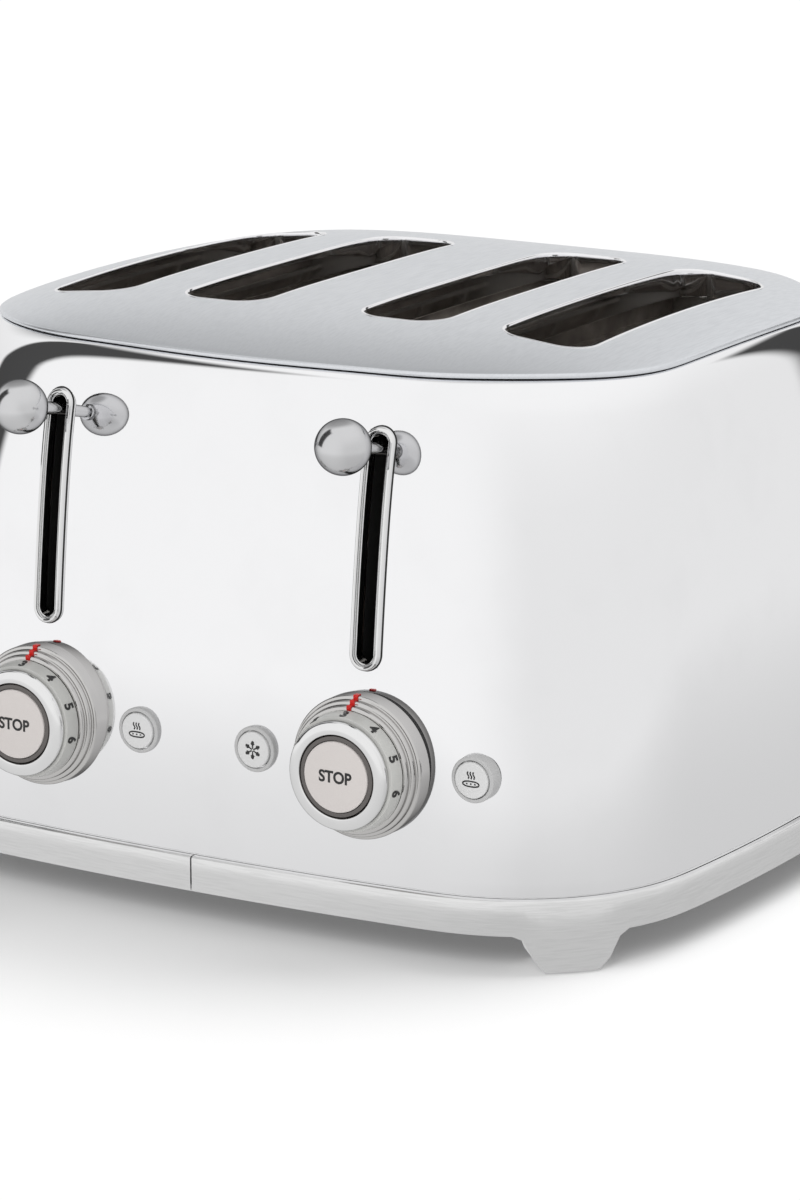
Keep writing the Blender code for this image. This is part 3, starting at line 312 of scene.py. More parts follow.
def ring(plan):
    """AROUND evenly spaced points, counter-clockwise from the front centre, as rows of x and y."""
    front, front_radius, corner, side, side_radius, start, end = plan_arcs(plan)
    quarter = np.concatenate([arc(front, front_radius, -math.pi / 2, start),
                              arc(corner, plan.corner, start, end),
                              arc(side, side_radius, end, 0)])
    side_middle = np.array([[plan.half_width, 0]])
    half = np.concatenate([quarter, side_middle, quarter[::-1] * (1, -1)])
    whole = np.concatenate([half, half[::-1] * (-1, 1)])
    steps = np.hypot(*np.diff(whole, axis=0).T)
    travelled = np.concatenate([[0], np.cumsum(steps)])
    wanted = np.arange(AROUND) * travelled[-1] / AROUND
    points = np.stack([np.interp(wanted, travelled, whole[:, k]) for k in (0, 1)], 1)
    for _ in range(EASING):
        points = (np.roll(points, 1, 0) + 2 * points + np.roll(points, -1, 0)) / 4
    return points


# %% [markdown]
# ## Wall and dome
# The wall leans inwards, more and more towards the top, and its last few millimetres roll over
# under the cover. One number, the share of the height, gives the plan at each level. The cover is
# a dome that falls gently to the front and back and quickly near the left and right edges.

# %% Wall and dome
BAND_TOP = 0.0270
FLOOR_LEVEL = 0.0181
CROWN = 0.2129
FRONT_FALL = 0.0091
SIDE_FALL = 0.0102
SIDE_FALL_POWER = 5
OUTLINE_POWER = 3.4
RIM_DEPTH = 0.0022
RIM_GAP = 0.0004
LIP = 0.0003
SHELL_WALL = 0.0012
WALL_LEAN = 0.0095
WALL_CROWN = 0.0075
WALL_CROWN_POWER = 3
SHOULDER_POWER = 12
EDGE_ROLL = 0.0030
ROLL_START = 0.955
SEARCH_STEPS = 30
low_plan = inset_plan(base_plan, 0.0028)
top_plan = inset_plan(cover_plan, 0.0008)


def dome(x, y):
    """The height of the cover's top above the floor."""
    across, along = abs(x / cover_plan.half_width), abs(y / cover_plan.half_depth)
    reach = (across ** OUTLINE_POWER + along ** OUTLINE_POWER) ** (1 / OUTLINE_POWER)
    return CROWN - FRONT_FALL * (along * reach) ** 2 - SIDE_FALL * across ** SIDE_FALL_POWER


def wall_plan(share):
    """The wall's plan at a share of its height, between the base's plan and the cover's."""
    whole = low_plan.half_depth - top_plan.half_depth
    turn = min(1, max(0, (share - ROLL_START) / (1 - ROLL_START)))
    shoulder = whole - WALL_LEAN - WALL_CROWN - EDGE_ROLL
    drop = WALL_LEAN * share + WALL_CROWN * share ** WALL_CROWN_POWER
    drop += shoulder * share ** SHOULDER_POWER
    drop += EDGE_ROLL * (1 - math.sqrt(1 - turn ** 2))
    return Plan(*(a + (b - a) * drop / whole for a, b in zip(low_plan, top_plan)))


def wall_height(share, x, y):
    return BAND_TOP + (dome(x, y) - RIM_DEPTH - RIM_GAP - BAND_TOP) * share


def front_edge(plan, x):
    """Where a plan's front lies at x."""
    front, front_radius, corner, _, _, start, _ = plan_arcs(plan)
    if abs(x) <= front_radius * math.cos(start):
        return front_radius - math.sqrt(front_radius ** 2 - x ** 2) - plan.half_depth
    return corner.y - math.sqrt(plan.corner ** 2 - (abs(x) - corner.x) ** 2)


def wall_front(x, z):
    """Where the front wall's face lies at x and z, before the shift to the frame's origin."""
    low, high = 0.0, 1.0
    for _ in range(SEARCH_STEPS):
        share = (low + high) / 2
        y = front_edge(wall_plan(share), x)
        if wall_height(share, x, y) < z:
            low = share
        else:
            high = share
    return y


print("front wall at the dial, mm:", round(wall_front(0.067, 0.0689) * 1000, 2))

# %% [markdown]
# ## Tools for shaping
# Sheet metal is a flat grid bent to shape, so a skin starts as Blender's grid and each of its
# corners is moved to its place. Turned pieces start as a profile that is rounded with a bevel and
# then spun. Holes are cut last, so that the bent sheet stays even.

# %% Skins
MERGE = 1e-6


def skin(rows, wrap=True, loop=False):
    """A grid laid over rows of points. wrap joins a row's ends, loop the last row to the first."""
    rows = [[Vector(p) for p in row] for row in rows]
    if wrap:
        rows = [row + [row[0]] for row in rows]
    if loop:
        rows.append(rows[0])
    bm = bmesh.new()
    bmesh.ops.create_grid(bm, x_segments=len(rows[0]) - 1, y_segments=len(rows) - 1, size=1)
    bm.verts.ensure_lookup_table()
    for vert, point in zip(bm.verts, [point for row in rows for point in row]):
        vert.co = point
    bmesh.ops.remove_doubles(bm, verts=bm.verts, dist=MERGE)
    bmesh.ops.dissolve_degenerate(bm, edges=bm.edges, dist=MERGE)
    bmesh.ops.recalc_face_normals(bm, faces=bm.faces)
    return bm


def cap_ends(bm):
    """Closes the open ends of a skin."""
    open_edges = [edge for edge in bm.edges if edge.is_boundary]
    bmesh.ops.holes_fill(bm, edges=open_edges)
    bmesh.ops.recalc_face_normals(bm, faces=bm.faces)
    return bm


# %% Turned pieces
UP = Vector((0, 0, 1))
BACK = Vector((0, 1, 0))


def turned(profile, centre, axis=BACK, steps=96, closed=False, rounds=(), fine=4):
    """A profile of radius and depth spun about an axis. rounds gives corners their radii."""
    centre = Vector(centre)
    across = (UP - axis * axis.dot(UP)).normalized() if abs(axis.dot(UP)) < 0.9 else Vector((1, 0, 0))
    bm = bmesh.new()
    verts = [bm.verts.new(centre + axis * depth + across * radius) for radius, depth in profile]
    pairs = list(zip(verts, verts[1:]))
    if closed:
        pairs.append((verts[-1], verts[0]))
    for pair in pairs:
        bm.edges.new(pair)
    for index, size in rounds:
        bmesh.ops.bevel(bm, geom=[verts[index]], offset=size, offset_type="OFFSET", segments=fine,
                        profile=0.5, affect="VERTICES", material=-1)
    bmesh.ops.spin(bm, geom=bm.verts[:] + bm.edges[:], cent=centre, axis=axis, dvec=(0, 0, 0),
                   angle=2 * math.pi, steps=steps, use_merge=True)
    bmesh.ops.remove_doubles(bm, verts=bm.verts, dist=MERGE)
    bmesh.ops.recalc_face_normals(bm, faces=bm.faces)
    return bm


# %% Blocks, cuts and finished pieces
def block(low, high, edge=0.0, segments=2, upright_only=False):
    """A block between two corners, its edges rounded."""
    low, high = Vector(low), Vector(high)
    bm = bmesh.new()
    frame_matrix = Matrix.Translation((low + high) / 2) @ Matrix.Diagonal((*(high - low), 1))
    bmesh.ops.create_cube(bm, size=1, matrix=frame_matrix)
    if edge:
        edges = [e for e in bm.edges
                 if not upright_only or abs((e.verts[0].co - e.verts[1].co).z) > MERGE]
        bmesh.ops.bevel(bm, geom=edges, offset=edge, segments=segments, profile=0.5,
                        affect="EDGES", material=-1, offset_type="OFFSET")
    return bm


def to_object(name, bm):
    mesh = bpy.data.meshes.new(name)
    bm.to_mesh(mesh)
    bm.free()
    thing = bpy.data.objects.new(name, mesh)
    bpy.context.scene.collection.objects.link(thing)
    return thing


def carve(bm, cutter):
    """Cuts one mesh out of another."""
    kept, taken = to_object("kept", bm), to_object("taken", cutter)
    change = kept.modifiers.new("cut", "BOOLEAN")
    change.operation = "DIFFERENCE"
    change.solver = "EXACT"
    change.object = taken
    result = bmesh.new()
    result.from_mesh(kept.evaluated_get(bpy.context.evaluated_depsgraph_get()).to_mesh())
    for thing in (kept, taken):
        bpy.data.objects.remove(thing, do_unlink=True)
    return result


def merged(meshes):
    """Several loose meshes in one."""
    whole = bmesh.new()
    for bm in meshes:
        part = bpy.data.meshes.new("part")
        bm.to_mesh(part)
        bm.free()
        whole.from_mesh(part)
        bpy.data.meshes.remove(part)
    return whole


def piece(name, bm, finish, body="chassis", stands_for=(), sharp=35, shift=True):
    """Hands a mesh over to the toaster: moves it to the frame's origin and lets it ride on a body."""
    if shift:
        bmesh.ops.translate(bm, verts=bm.verts, vec=(0, SHIFT, 0))
    thing = to_object(name, bm)
    thing.data.shade_smooth()
    thing.data.set_sharp_from_angle(angle=math.radians(sharp))
    thing.data.materials.append(finish)
    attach(thing, body)
    if stands_for:
        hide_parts(*stands_for)
    return thing


# %% [markdown]
# ## Body shell
# The real shell is pressed from one sheet and polished. The skin has a ring of points at each
# level, closer together near the shoulder where it bends most. It gets its thickness from a
# solidify, and the two lever slots are cut through it.

# %% Body shell
LEVER_X = 0.0664
SLOT_HALF = 0.0032
BEZEL_HALF = 0.00575
BEZEL_TOP = 0.1858
BEZEL_LOW = 0.1019
SLOT_CLEARANCE = 0.0013
SLOT_CUT_FRONT = -0.166
SLOT_CUT_BACK = -0.124
SHELL_STEPS = 60
SHELL_TUCK = 0.006
SIDES = (("left", -1), ("right", 1))


def wall_ring(share):
    points = ring(wall_plan(share))
    return [(x, y, wall_height(share, x, y)) for x, y in points]


def make_shell():
    rows = [[(x, y, FLOOR_LEVEL) for x, y in ring(low_plan)]]
    for step in range(SHELL_STEPS + 1):
        share = 1 - (1 - step / SHELL_STEPS) ** 2
        rows.append(wall_ring(share))
    rows.append([(x, y, wall_height(1, x, y)) for x, y in ring(inset_plan(top_plan, SHELL_TUCK))])
    bm = skin(rows)
    bmesh.ops.solidify(bm, geom=bm.faces[:], thickness=SHELL_WALL)
    cutters = []
    for _side, sign in SIDES:
        half = SLOT_HALF + SLOT_CLEARANCE
        low = (sign * LEVER_X - half, SLOT_CUT_FRONT, BEZEL_LOW + BEZEL_HALF - half)
        high = (sign * LEVER_X + half, SLOT_CUT_BACK, BEZEL_TOP - BEZEL_HALF + half)
        cutters.append(block(low, high))
    return carve(bm, merged(cutters))


shell = piece("shell_skin", make_shell(), polished_steel, stands_for=("body_shell",))
print("shell faces:", len(shell.data.polygons))

# %% [markdown]
# ## Top cover and slot collars
# The cover is one domed pressing with a rolled rim. Its skin runs from the crown out to the rim,
# over the roll and back underneath to the middle. The bread slots are cut with blocks whose upright
# edges are rounded, and each slot is edged with a bright collar that is turned down into it.

# %% Cover plate
PAIR_X = 0.0664
SLOT_SPACING = 0.0578
SLOT_LENGTH = 0.1500
SLOT_WIDTH = 0.0350
SLOT_CORNER = 0.0120
SLOT_CORNER_STEPS = 10
SLOT_SIDE_STEPS = 15
COLLAR_GAP = 0.0004
CUT_LOW, CUT_HIGH = 0.18, 0.23
RIM_STEPS = 12
COVER_SHEET = 0.0014
slot_centres = (-PAIR_X - SLOT_SPACING / 2, -PAIR_X + SLOT_SPACING / 2,
                PAIR_X - SLOT_SPACING / 2, PAIR_X + SLOT_SPACING / 2)


def dome_row(points, drop):
    return [(x, y, dome(x, y) - LIP - drop) for x, y in points]


def make_cover():
    outline = ring(cover_plan)
    rows = [dome_row(outline * share, 0) for share in np.linspace(0, 1, 41)[:-1] ** 0.8]
    rows = [row for row in rows if abs(row[0][1]) < cover_plan.half_depth - 0.0042]
    rows.append(dome_row(ring(inset_plan(cover_plan, 0.0040)), 0))
    for step in range(RIM_STEPS + 1):
        turn = math.pi * step / RIM_STEPS
        inset = (RIM_DEPTH - LIP) / 2 * (1 - math.sin(turn))
        drop = (RIM_DEPTH - LIP) / 2 * (1 - math.cos(turn))
        rows.append(dome_row(ring(inset_plan(cover_plan, inset)), drop))
    rows.append(dome_row(ring(inset_plan(cover_plan, 0.0020)), RIM_DEPTH - LIP - 0.0002))
    rows.append(dome_row(ring(inset_plan(cover_plan, 0.0032)), 0.0015))
    for share in np.linspace(0.96, 0, 25):
        rows.append(dome_row(outline * share, COVER_SHEET))
    cutters = []
    for x in slot_centres:
        half, reach = SLOT_WIDTH / 2 + COLLAR_GAP, SLOT_LENGTH / 2 + COLLAR_GAP
        cutters.append(block((x - half, -reach, CUT_LOW), (x + half, reach, CUT_HIGH), SLOT_CORNER,
                             SLOT_CORNER_STEPS, True))
    return carve(skin(rows), merged(cutters))


cover = piece("cover_plate", make_cover(), cover_satin, stands_for=("top_cover",))
print("cover faces:", len(cover.data.polygons))


# %% Slot collars
def slot_ring(x, grow):
    """The slot's outline, grown outwards, with points along its straight sides."""
    half, reach, corner = SLOT_WIDTH / 2 + grow, SLOT_LENGTH / 2 + grow, SLOT_CORNER + grow
    points = []
    for sx, sy, first in ((1, -1, -90), (1, 1, 0), (-1, 1, 90), (-1, -1, 180)):
        centre = (x + sx * (half - corner), sy * (reach - corner))
        for i in range(SLOT_CORNER_STEPS + 1):
            angle = math.radians(first + 90 / SLOT_CORNER_STEPS * i)
            points.append((centre[0] + corner * math.cos(angle), centre[1] + corner * math.sin(angle)))
        if sx * sy < 0:
            for i in range(1, SLOT_SIDE_STEPS + 1):
                along = 1 - 2 * i / (SLOT_SIDE_STEPS + 1)
                points.append((x + sx * half, sy * (reach - corner) * along))
    return points


collar_section = ((0.0012, -0.0002), (0.0011, 0.0001), (0.0007, 0.00025), (0.0003, 0.0002),
                  (0.0000, -0.0001), (-0.0001, -0.0006), (-0.0001, -0.0030), (-0.0001, -0.0095),
                  (0.0000, -0.0101), (0.0004, -0.0105), (0.0009, -0.0103), (0.0011, -0.0098),
                  (0.0009, -0.0093), (0.0007, -0.0088), (0.0007, -0.0016), (0.0012, -0.0014))
for number, x in enumerate(slot_centres, 1):
    rows = [[(px, py, dome(px, py) - LIP + rise) for px, py in slot_ring(x, grow)]
            for grow, rise in collar_section]
    piece("slot_collar_%d" % number, skin(rows, loop=True), rim_steel)
print("collars:", len(slot_centres))

# %% [markdown]
# ## Base trim and feet
# The trim is a cast band in two halves that meet at the front and back. Each half grows down into
# a foot at its corners. One section is drawn for every point of the plan: where there is a foot,
# its lower edge drops and its inner lip widens, so that band and foot flow into each other.

# %% Base trim
BAND_LOW = 0.0140
BAND_WALL = 0.0025
FOOT_FLAT = 0.0200
FOOT_SPREAD = 0.0400
PAD_PROUD = 0.0008
TRIM_ROUND = 0.0008
TRIM_FINE = 0.00025
LIP_NARROW = BAND_WALL + 0.002
LIP_WIDE = BAND_WALL + 0.017
LEDGE = BAND_LOW + 0.0015
SEAM_HALF = 0.0003
TRAY_NEAR, TRAY_FAR = 0.0204, 0.1124
_, _, base_corner, _, _, base_start, base_end = plan_arcs(base_plan)
foot_angle = (base_start + base_end) / 2


def foot_share(x, y):
    """1 at a foot, 0 along the band, and smoothly between."""
    angle = math.atan2(-abs(y) - base_corner.y, abs(x) - base_corner.x)
    reach = abs(angle - foot_angle) * base_plan.corner
    share = (FOOT_SPREAD / 2 - reach) / ((FOOT_SPREAD - FOOT_FLAT) / 2)
    share = min(1, max(0, share))
    return share * share * (3 - 2 * share)


def make_trim(sign):
    half = AROUND // 2
    rings = {inset: ring(inset_plan(base_plan, inset))
             for inset in (0, TRIM_FINE, TRIM_ROUND, BAND_WALL, LIP_NARROW, LIP_WIDE)}
    columns = []
    for i in range(half + 1):
        index = i % AROUND if sign > 0 else -i % AROUND
        at = {inset: Vector(points[index]) for inset, points in rings.items()}
        share = foot_share(*at[0])
        low = BAND_LOW - (BAND_LOW - PAD_PROUD) * share
        lip = at[LIP_NARROW].lerp(at[LIP_WIDE], share)
        column = [(at[0], BAND_TOP - TRIM_ROUND), (at[0], (BAND_TOP + low) / 2),
                  (at[0], low + TRIM_ROUND), (at[TRIM_FINE], low + 0.0003), (at[TRIM_ROUND], low),
                  (at[BAND_WALL], low), (lip, low), (lip, LEDGE), (at[BAND_WALL], LEDGE),
                  (at[BAND_WALL], BAND_TOP), (at[TRIM_ROUND], BAND_TOP),
                  (at[TRIM_FINE], BAND_TOP - 0.0003)]
        points = [Vector((p.x, p.y, z)) for p, z in column]
        if i in (0, half):
            for point in points:
                point.x = sign * SEAM_HALF
        columns.append(points)
    bm = cap_ends(skin(columns, wrap=True))
    low_x, high_x = sorted((sign * TRAY_NEAR, sign * TRAY_FAR))
    window = block((low_x, 0.12, FLOOR_LEVEL - 0.0006), (high_x, 0.17, 0.0253))
    return carve(bm, window)


for side, sign in SIDES:
    piece("trim_band_" + side, make_trim(sign), trim_satin, stands_for=("base_trim_" + side,))
print("foot at", [round(math.degrees(foot_angle), 1)], "degrees round each corner")

# %% [markdown]
# ## Lever slots, stems and balls
# A chrome frame edges each lever slot: a rounded bead outside, a dark groove, and a thin bright
# edge at the slot itself. The frame follows the leaning wall, so each row of the skin is laid on
# the wall's own curve. A thin black ring round the frame is painted shade: it draws the shadow line
# where frame meets wall as a dark outline. Two black plates behind the slot keep the eye out of the
# works.

# %% Rings laid on the wall
END_STEPS = 24
SIDE_STEPS = 16


def stadium(x, half):
    """The slot's outline, half wide, with points along its straight sides."""
    high, low = BEZEL_TOP - BEZEL_HALF, BEZEL_LOW + BEZEL_HALF
    points = []
    for near, far, sign in ((high, low, 1), (low, high, -1)):
        for i in range(END_STEPS + 1):
            angle = math.pi * i / END_STEPS
            points.append((x + sign * half * math.cos(angle), near + sign * half * math.sin(angle)))
        for i in range(1, SIDE_STEPS):
            points.append((x - sign * half, near + (far - near) * i / SIDE_STEPS))
    return points


def wall_frame(sign, section):
    """A ring of one section round a lever slot, following the wall."""
    rows = [[(x, wall_front(x, z) - proud, z) for x, z in stadium(sign * LEVER_X, half)]
            for half, proud in section]
    return skin(rows, loop=True)


# %% Lever frames and the painted shadow rings under them
bezel_section = ((0.00575, -0.0004), (0.00575, 0.0010), (0.00560, 0.0016), (0.00520, 0.0021),
                 (0.00470, 0.0022), (0.00430, 0.0019), (0.00415, 0.0012), (0.00400, 0.0004),
                 (0.00375, 0.0003), (0.00365, 0.0009), (0.00350, 0.00115), (0.00330, 0.0010),
                 (0.00322, 0.0005), (0.00322, -0.0030), (0.00410, -0.0030), (0.00440, -0.0004))
# A thin black ring just outside each frame: painted shade for the shadow line where frame meets wall.
shadow_ring_section = ((0.00610, -0.0004), (0.00610, 0.00012), (0.00560, 0.00012), (0.00560, -0.0004))
for side, sign in SIDES:
    piece("lever_frame_" + side, wall_frame(sign, bezel_section), bright_chrome,
          stands_for=("lever_bezel_" + side,))
# Painted shade: black rings that draw a dark outline round each lever frame.
for side, sign in SIDES:
    piece("frame_seal_" + side, wall_frame(sign, shadow_ring_section), rubber_black)

# %% Black plates behind the slots
LINER_AT = 0.0034
LINER_THICKNESS = 0.0008
LINER_FRONT, LINER_BACK = 0.0032, 0.0125
liner_levels = np.linspace(0.100, 0.1865, 13)
for side, sign in SIDES:
    plates = []
    for edge in (-1, 1):
        near = sign * LEVER_X + edge * LINER_AT
        far = near + edge * LINER_THICKNESS
        rows = []
        for x, deep in ((near, LINER_FRONT), (near, LINER_BACK), (far, LINER_BACK), (far, LINER_FRONT)):
            rows.append([(x, wall_front(x, z) + deep, z) for z in liner_levels])
        plates.append(cap_ends(skin(rows, wrap=False, loop=True)))
    piece("slot_liner_" + side, merged(plates), liner_black)
print("lever frames follow the wall over", round((BEZEL_TOP - BEZEL_LOW) * 1000, 1), "mm")

# %% [markdown]
# The ball, its neck and its stem are one turned piece on a tilted axis, square to the wall.

# %% Balls and stems
STEM_TILT = math.radians(11.7)
stem_axis = Vector((0, math.cos(STEM_TILT), -math.sin(STEM_TILT)))
BALL = 0.0098
BALL_STEPS = 40
BALL_REACH = 0.0252
NECK = 0.0034
STEM = 0.00235
STEM_END = 0.0420
STEM_BELOW_END = 0.00175


def ball_profile():
    """From the ball's front pole over the ball, down its neck and along the stem."""
    neck_angle = math.asin(NECK / BALL)
    points = []
    for step in range(BALL_STEPS + 1):
        angle = math.pi - (math.pi - neck_angle) * step / BALL_STEPS
        points.append((BALL * math.sin(angle), BALL * math.cos(angle)))
    points[0] = (0, -BALL)
    points += [(0.0033, 0.0112), (STEM, 0.0114), (STEM, STEM_END), (0, STEM_END)]
    return points


for side, sign in SIDES:
    root_z = BEZEL_TOP - BEZEL_HALF - STEM_BELOW_END
    root = Vector((sign * LEVER_X, wall_front(sign * LEVER_X, root_z), root_z))
    centre = root - stem_axis * BALL_REACH
    piece("lever_knob_" + side, turned(ball_profile(), centre, stem_axis), ball_chrome,
          body="lever_" + side, stands_for=("lever_ball_" + side,))
print("ball centre, mm:", [round(v * 1000, 1) for v in centre])

# %% [markdown]
# ## Dials
# Each dial is a stack of turned rings about one axis: the push button in the middle, a smoky ring
# round it that lights up, the bright bezel, the numbered drum, and the stepped flange on the wall.
# The wall curves away behind the flange, and a black ring fills the gap that this leaves: painted shade
# that draws a dark line round the flange's edge.

# %% Dial rings
DIAL_X = 0.0670
DIAL_Z = 0.0689
FACE_PROUD = 0.0189
face_y = wall_front(DIAL_X, DIAL_Z) - FACE_PROUD
DRUM_START, DRUM_END = 0.0036, 0.0090
DRUM_FRONT, DRUM_BACK = 0.0204, 0.0216
FLANGE_START, FLANGE_END = 0.0093, 0.0204
FLANGE_STEP = 0.0023
BORE = 0.0093

stop_profile = ((0, 0), (0.01265, 0), (0.01265, 0.0012), (0.0073, 0.0012), (0.0073, 0.0380),
                (0, 0.0380))
light_profile = ((0.01295, 0.0006), (0.01435, 0.0006), (0.01435, 0.0050), (0.0090, 0.0050),
                 (0.0090, 0.0395), (0.0076, 0.0395), (0.0076, 0.0035), (0.01295, 0.0035))
bezel_profile = ((0.01465, 0.0012), (0.01500, 0.0003), (0.0176, 0.0003), (0.0194, 0.0012),
                 (0.0194, 0.0034), (0.0180, 0.0036), (0.0180, 0.0052), (0.01465, 0.0052))
drum_profile = ((DRUM_FRONT, DRUM_START), (DRUM_BACK, DRUM_END), (0.0093, DRUM_END),
                (0.0093, 0.0054), (0.0184, 0.0054), (0.0184, DRUM_START))


def flange_profile():
    points = [(BORE, FLANGE_START)]
    depth = FLANGE_START
    for radius in (0.0229, 0.0243, 0.0257):
        points += [(radius, depth), (radius, depth + FLANGE_STEP)]
        depth += FLANGE_STEP
    points[-1] = (radius, FLANGE_END)
    points.append((BORE, FLANGE_END))
    return points


for side, sign in SIDES:
    centre = (sign * DIAL_X, face_y, DIAL_Z)
    piece("stop_cap_" + side, turned(stop_profile, centre, rounds=((1, 0.0005),)), stop_plastic,
          body="stop_button_" + side, stands_for=("stop_button_" + side,))
    piece("glow_ring_" + side, turned(light_profile, centre, closed=True, rounds=((1, 0.0002),)),
          ring_smoke, stands_for=("light_ring_" + side,))
    piece("dial_bezel_" + side,
          turned(bezel_profile, centre, closed=True,
                 rounds=((1, 0.0003), (2, 0.0012), (3, 0.0006), (4, 0.0004))),
          bright_chrome, body="dial_" + side, stands_for=("dial_" + side,))
    piece("number_drum_" + side,
          turned(drum_profile, centre, closed=True, rounds=((0, 0.0003), (1, 0.0002))),
          drum_grey, body="dial_" + side)
    piece("flange_steps_" + side,
          turned(flange_profile(), centre, closed=True,
                 rounds=((1, 0.0007), (2, 0.0004), (3, 0.0006), (4, 0.0004), (5, 0.0006))),
          step_chrome, stands_for=("dial_flange_" + side,))
# A black ring behind each flange, where the wall curves away: painted shade that draws a dark line at
# the flange's edge.
flange_shadow_ring = ((BORE, 0.0200), (0.0255, 0.0200), (0.0255, 0.0225), (BORE, 0.0225))
for side, sign in SIDES:
    piece("flange_seal_" + side, turned(flange_shadow_ring, (sign * DIAL_X, face_y, DIAL_Z), closed=True),
          rubber_black)
print("dial face at y", round(face_y * 1000, 2), "mm before the shift")

# %% [markdown]
# ### Numbers and words
# Numbers go round the drum with their feet towards the cook, about a tenth of a turn apart. Text is
# turned into a mesh first, then stood on the drum's cone at its angle. The word on the button and
# the numbers are printed, so they are only a few hundredths of a millimetre thick.

# %% Lettering
def lettering(words, width, height, thickness, weight):
    """Words as a thin mesh in the x-y plane, centred. Without a width they keep the font's own."""
    curve = bpy.data.curves.new("words", "FONT")
    curve.body = words
    curve.extrude = 0.02
    curve.offset = weight
    thing = bpy.data.objects.new("words", curve)
    bpy.context.scene.collection.objects.link(thing)
    depsgraph = bpy.context.evaluated_depsgraph_get()
    bm = bmesh.new()
    bm.from_mesh(thing.evaluated_get(depsgraph).to_mesh())
    bpy.data.objects.remove(thing, do_unlink=True)
    bmesh.ops.remove_doubles(bm, verts=bm.verts, dist=0.0001)
    low = Vector([min(v.co[k] for v in bm.verts) for k in range(3)])
    high = Vector([max(v.co[k] for v in bm.verts) for k in range(3)])
    bmesh.ops.translate(bm, verts=bm.verts, vec=-(low + high) / 2)
    size = high - low
    scale = (width / size.x if width else height / size.y, height / size.y, thickness / size.z)
    bmesh.ops.scale(bm, verts=bm.verts, vec=scale)
    bmesh.ops.recalc_face_normals(bm, faces=bm.faces)
    return bm


def stand(bm, place, right, up):
    """Turns a mesh from the x-y plane so that its x points right and its y up, at a place."""
    right, up = right.normalized(), up.normalized()
    turn = Matrix((right, up, right.cross(up))).transposed().to_4x4()
    bmesh.ops.transform(bm, matrix=Matrix.Translation(place) @ turn, verts=bm.verts)
    return bm


REST_NUMBER = 3
NUMBER_STEP = math.radians(34)
DIGIT_HEIGHT = 0.0040
DIGIT_THICKNESS = 0.0003
WORD_WIDTH, WORD_HEIGHT = 0.0131, 0.0044
WORD_THICKNESS = 0.0001
PRINT_WEIGHT = 0.03
cone = Vector((0, DRUM_END - DRUM_START, DRUM_BACK - DRUM_FRONT)).normalized()
for side, sign in SIDES:
    digits = []
    for number in range(1, 7):
        angle = (number - REST_NUMBER) * NUMBER_STEP
        outward = Vector((math.sin(angle), 0, math.cos(angle)))
        middle = (DRUM_FRONT + DRUM_BACK) / 2
        up = BACK * cone.y + outward * cone.z
        right = Vector((math.cos(angle), 0, -math.sin(angle)))
        place = Vector((sign * DIAL_X, face_y + (DRUM_START + DRUM_END) / 2, DIAL_Z))
        place += outward * (middle + 0.00002)
        digit = lettering(str(number), 0, DIGIT_HEIGHT, DIGIT_THICKNESS, PRINT_WEIGHT)
        digits.append(stand(digit, place, right, up))
    piece("drum_numbers_" + side, merged(digits), print_black, body="dial_" + side,
          sharp=60)
    word = lettering("STOP", WORD_WIDTH, WORD_HEIGHT, WORD_THICKNESS, PRINT_WEIGHT)
    stand(word, Vector((sign * DIAL_X, face_y - 0.00003, DIAL_Z)), Vector((1, 0, 0)), UP)
    piece("stop_word_" + side, word, print_black, body="stop_button_" + side,
          sharp=60)


# %% Red index marks on the flanges
MARK_HALF = 0.0009


def index_mark(sign):
    """A narrow strip that climbs the flange's steps at the top of the dial."""
    path = [(0.0217, 0.0092), (0.0227, 0.0092), (0.0230, 0.0095), (0.0230, 0.0115), (0.0241, 0.0115),
            (0.0244, 0.0118), (0.0244, 0.0138), (0.0255, 0.0138), (0.0258, 0.0141), (0.0258, 0.0160)]
    rows = []
    for lift in (0.0003, -0.0002):
        for half in ((-1, 1) if lift > 0 else (1, -1)):
            rows.append([(sign * DIAL_X + half * MARK_HALF, face_y + depth - lift / 2,
                          DIAL_Z + radius + lift) for radius, depth in path])
    return cap_ends(skin(rows, wrap=False, loop=True))


for side, sign in SIDES:
    piece("index_mark_" + side, index_mark(sign), mark_red)
print("numbers stand", round(math.degrees(NUMBER_STEP)), "degrees apart")

# %% [markdown]
# ## Small buttons
# Beside each dial are a defrost button with a snowflake and a reheat button with steam over a
# slice. Cap and collar are turned. The signs are drawn as thin round lines, then pressed flat.

# %% Small buttons
INNER_OFFSET = 0.0427
OUTER_OFFSET = 0.0421
STROKE_HALF = 0.00028
INNER_PROUD = 0.0024
OUTER_PROUD = 0.0040
cap_profile = ((0, 0), (0.0065, 0), (0.0065, 0.0070), (0.0025, 0.0070), (0.0025, 0.0180), (0, 0.0180))
collar_profile = ((0.0068, 0.0012), (0.0070, 0.0008), (0.0083, 0.0008), (0.0083, 0.0064),
                  (0.0068, 0.0064))


def lines(strokes, place, half_width):
    """Strokes in the plane of a button's face, as flat ribbons with round edges."""
    curve = bpy.data.curves.new("strokes", "CURVE")
    curve.dimensions = "3D"
    curve.bevel_depth = half_width
    curve.bevel_resolution = 2
    curve.use_fill_caps = True
    for points, closed in strokes:
        spline = curve.splines.new("POLY")
        spline.points.add(len(points) - 1)
        for target, (x, z) in zip(spline.points, points):
            target.co = (x, 0, z, 1)
        spline.use_cyclic_u = closed
    thing = bpy.data.objects.new("strokes", curve)
    bpy.context.scene.collection.objects.link(thing)
    bm = bmesh.new()
    bm.from_mesh(thing.evaluated_get(bpy.context.evaluated_depsgraph_get()).to_mesh())
    bpy.data.objects.remove(thing, do_unlink=True)
    bmesh.ops.remove_doubles(bm, verts=bm.verts, dist=MERGE)
    bmesh.ops.scale(bm, verts=bm.verts, vec=(1, 0.3, 1))
    bmesh.ops.translate(bm, verts=bm.verts, vec=place)
    bmesh.ops.recalc_face_normals(bm, faces=bm.faces)
    return bm


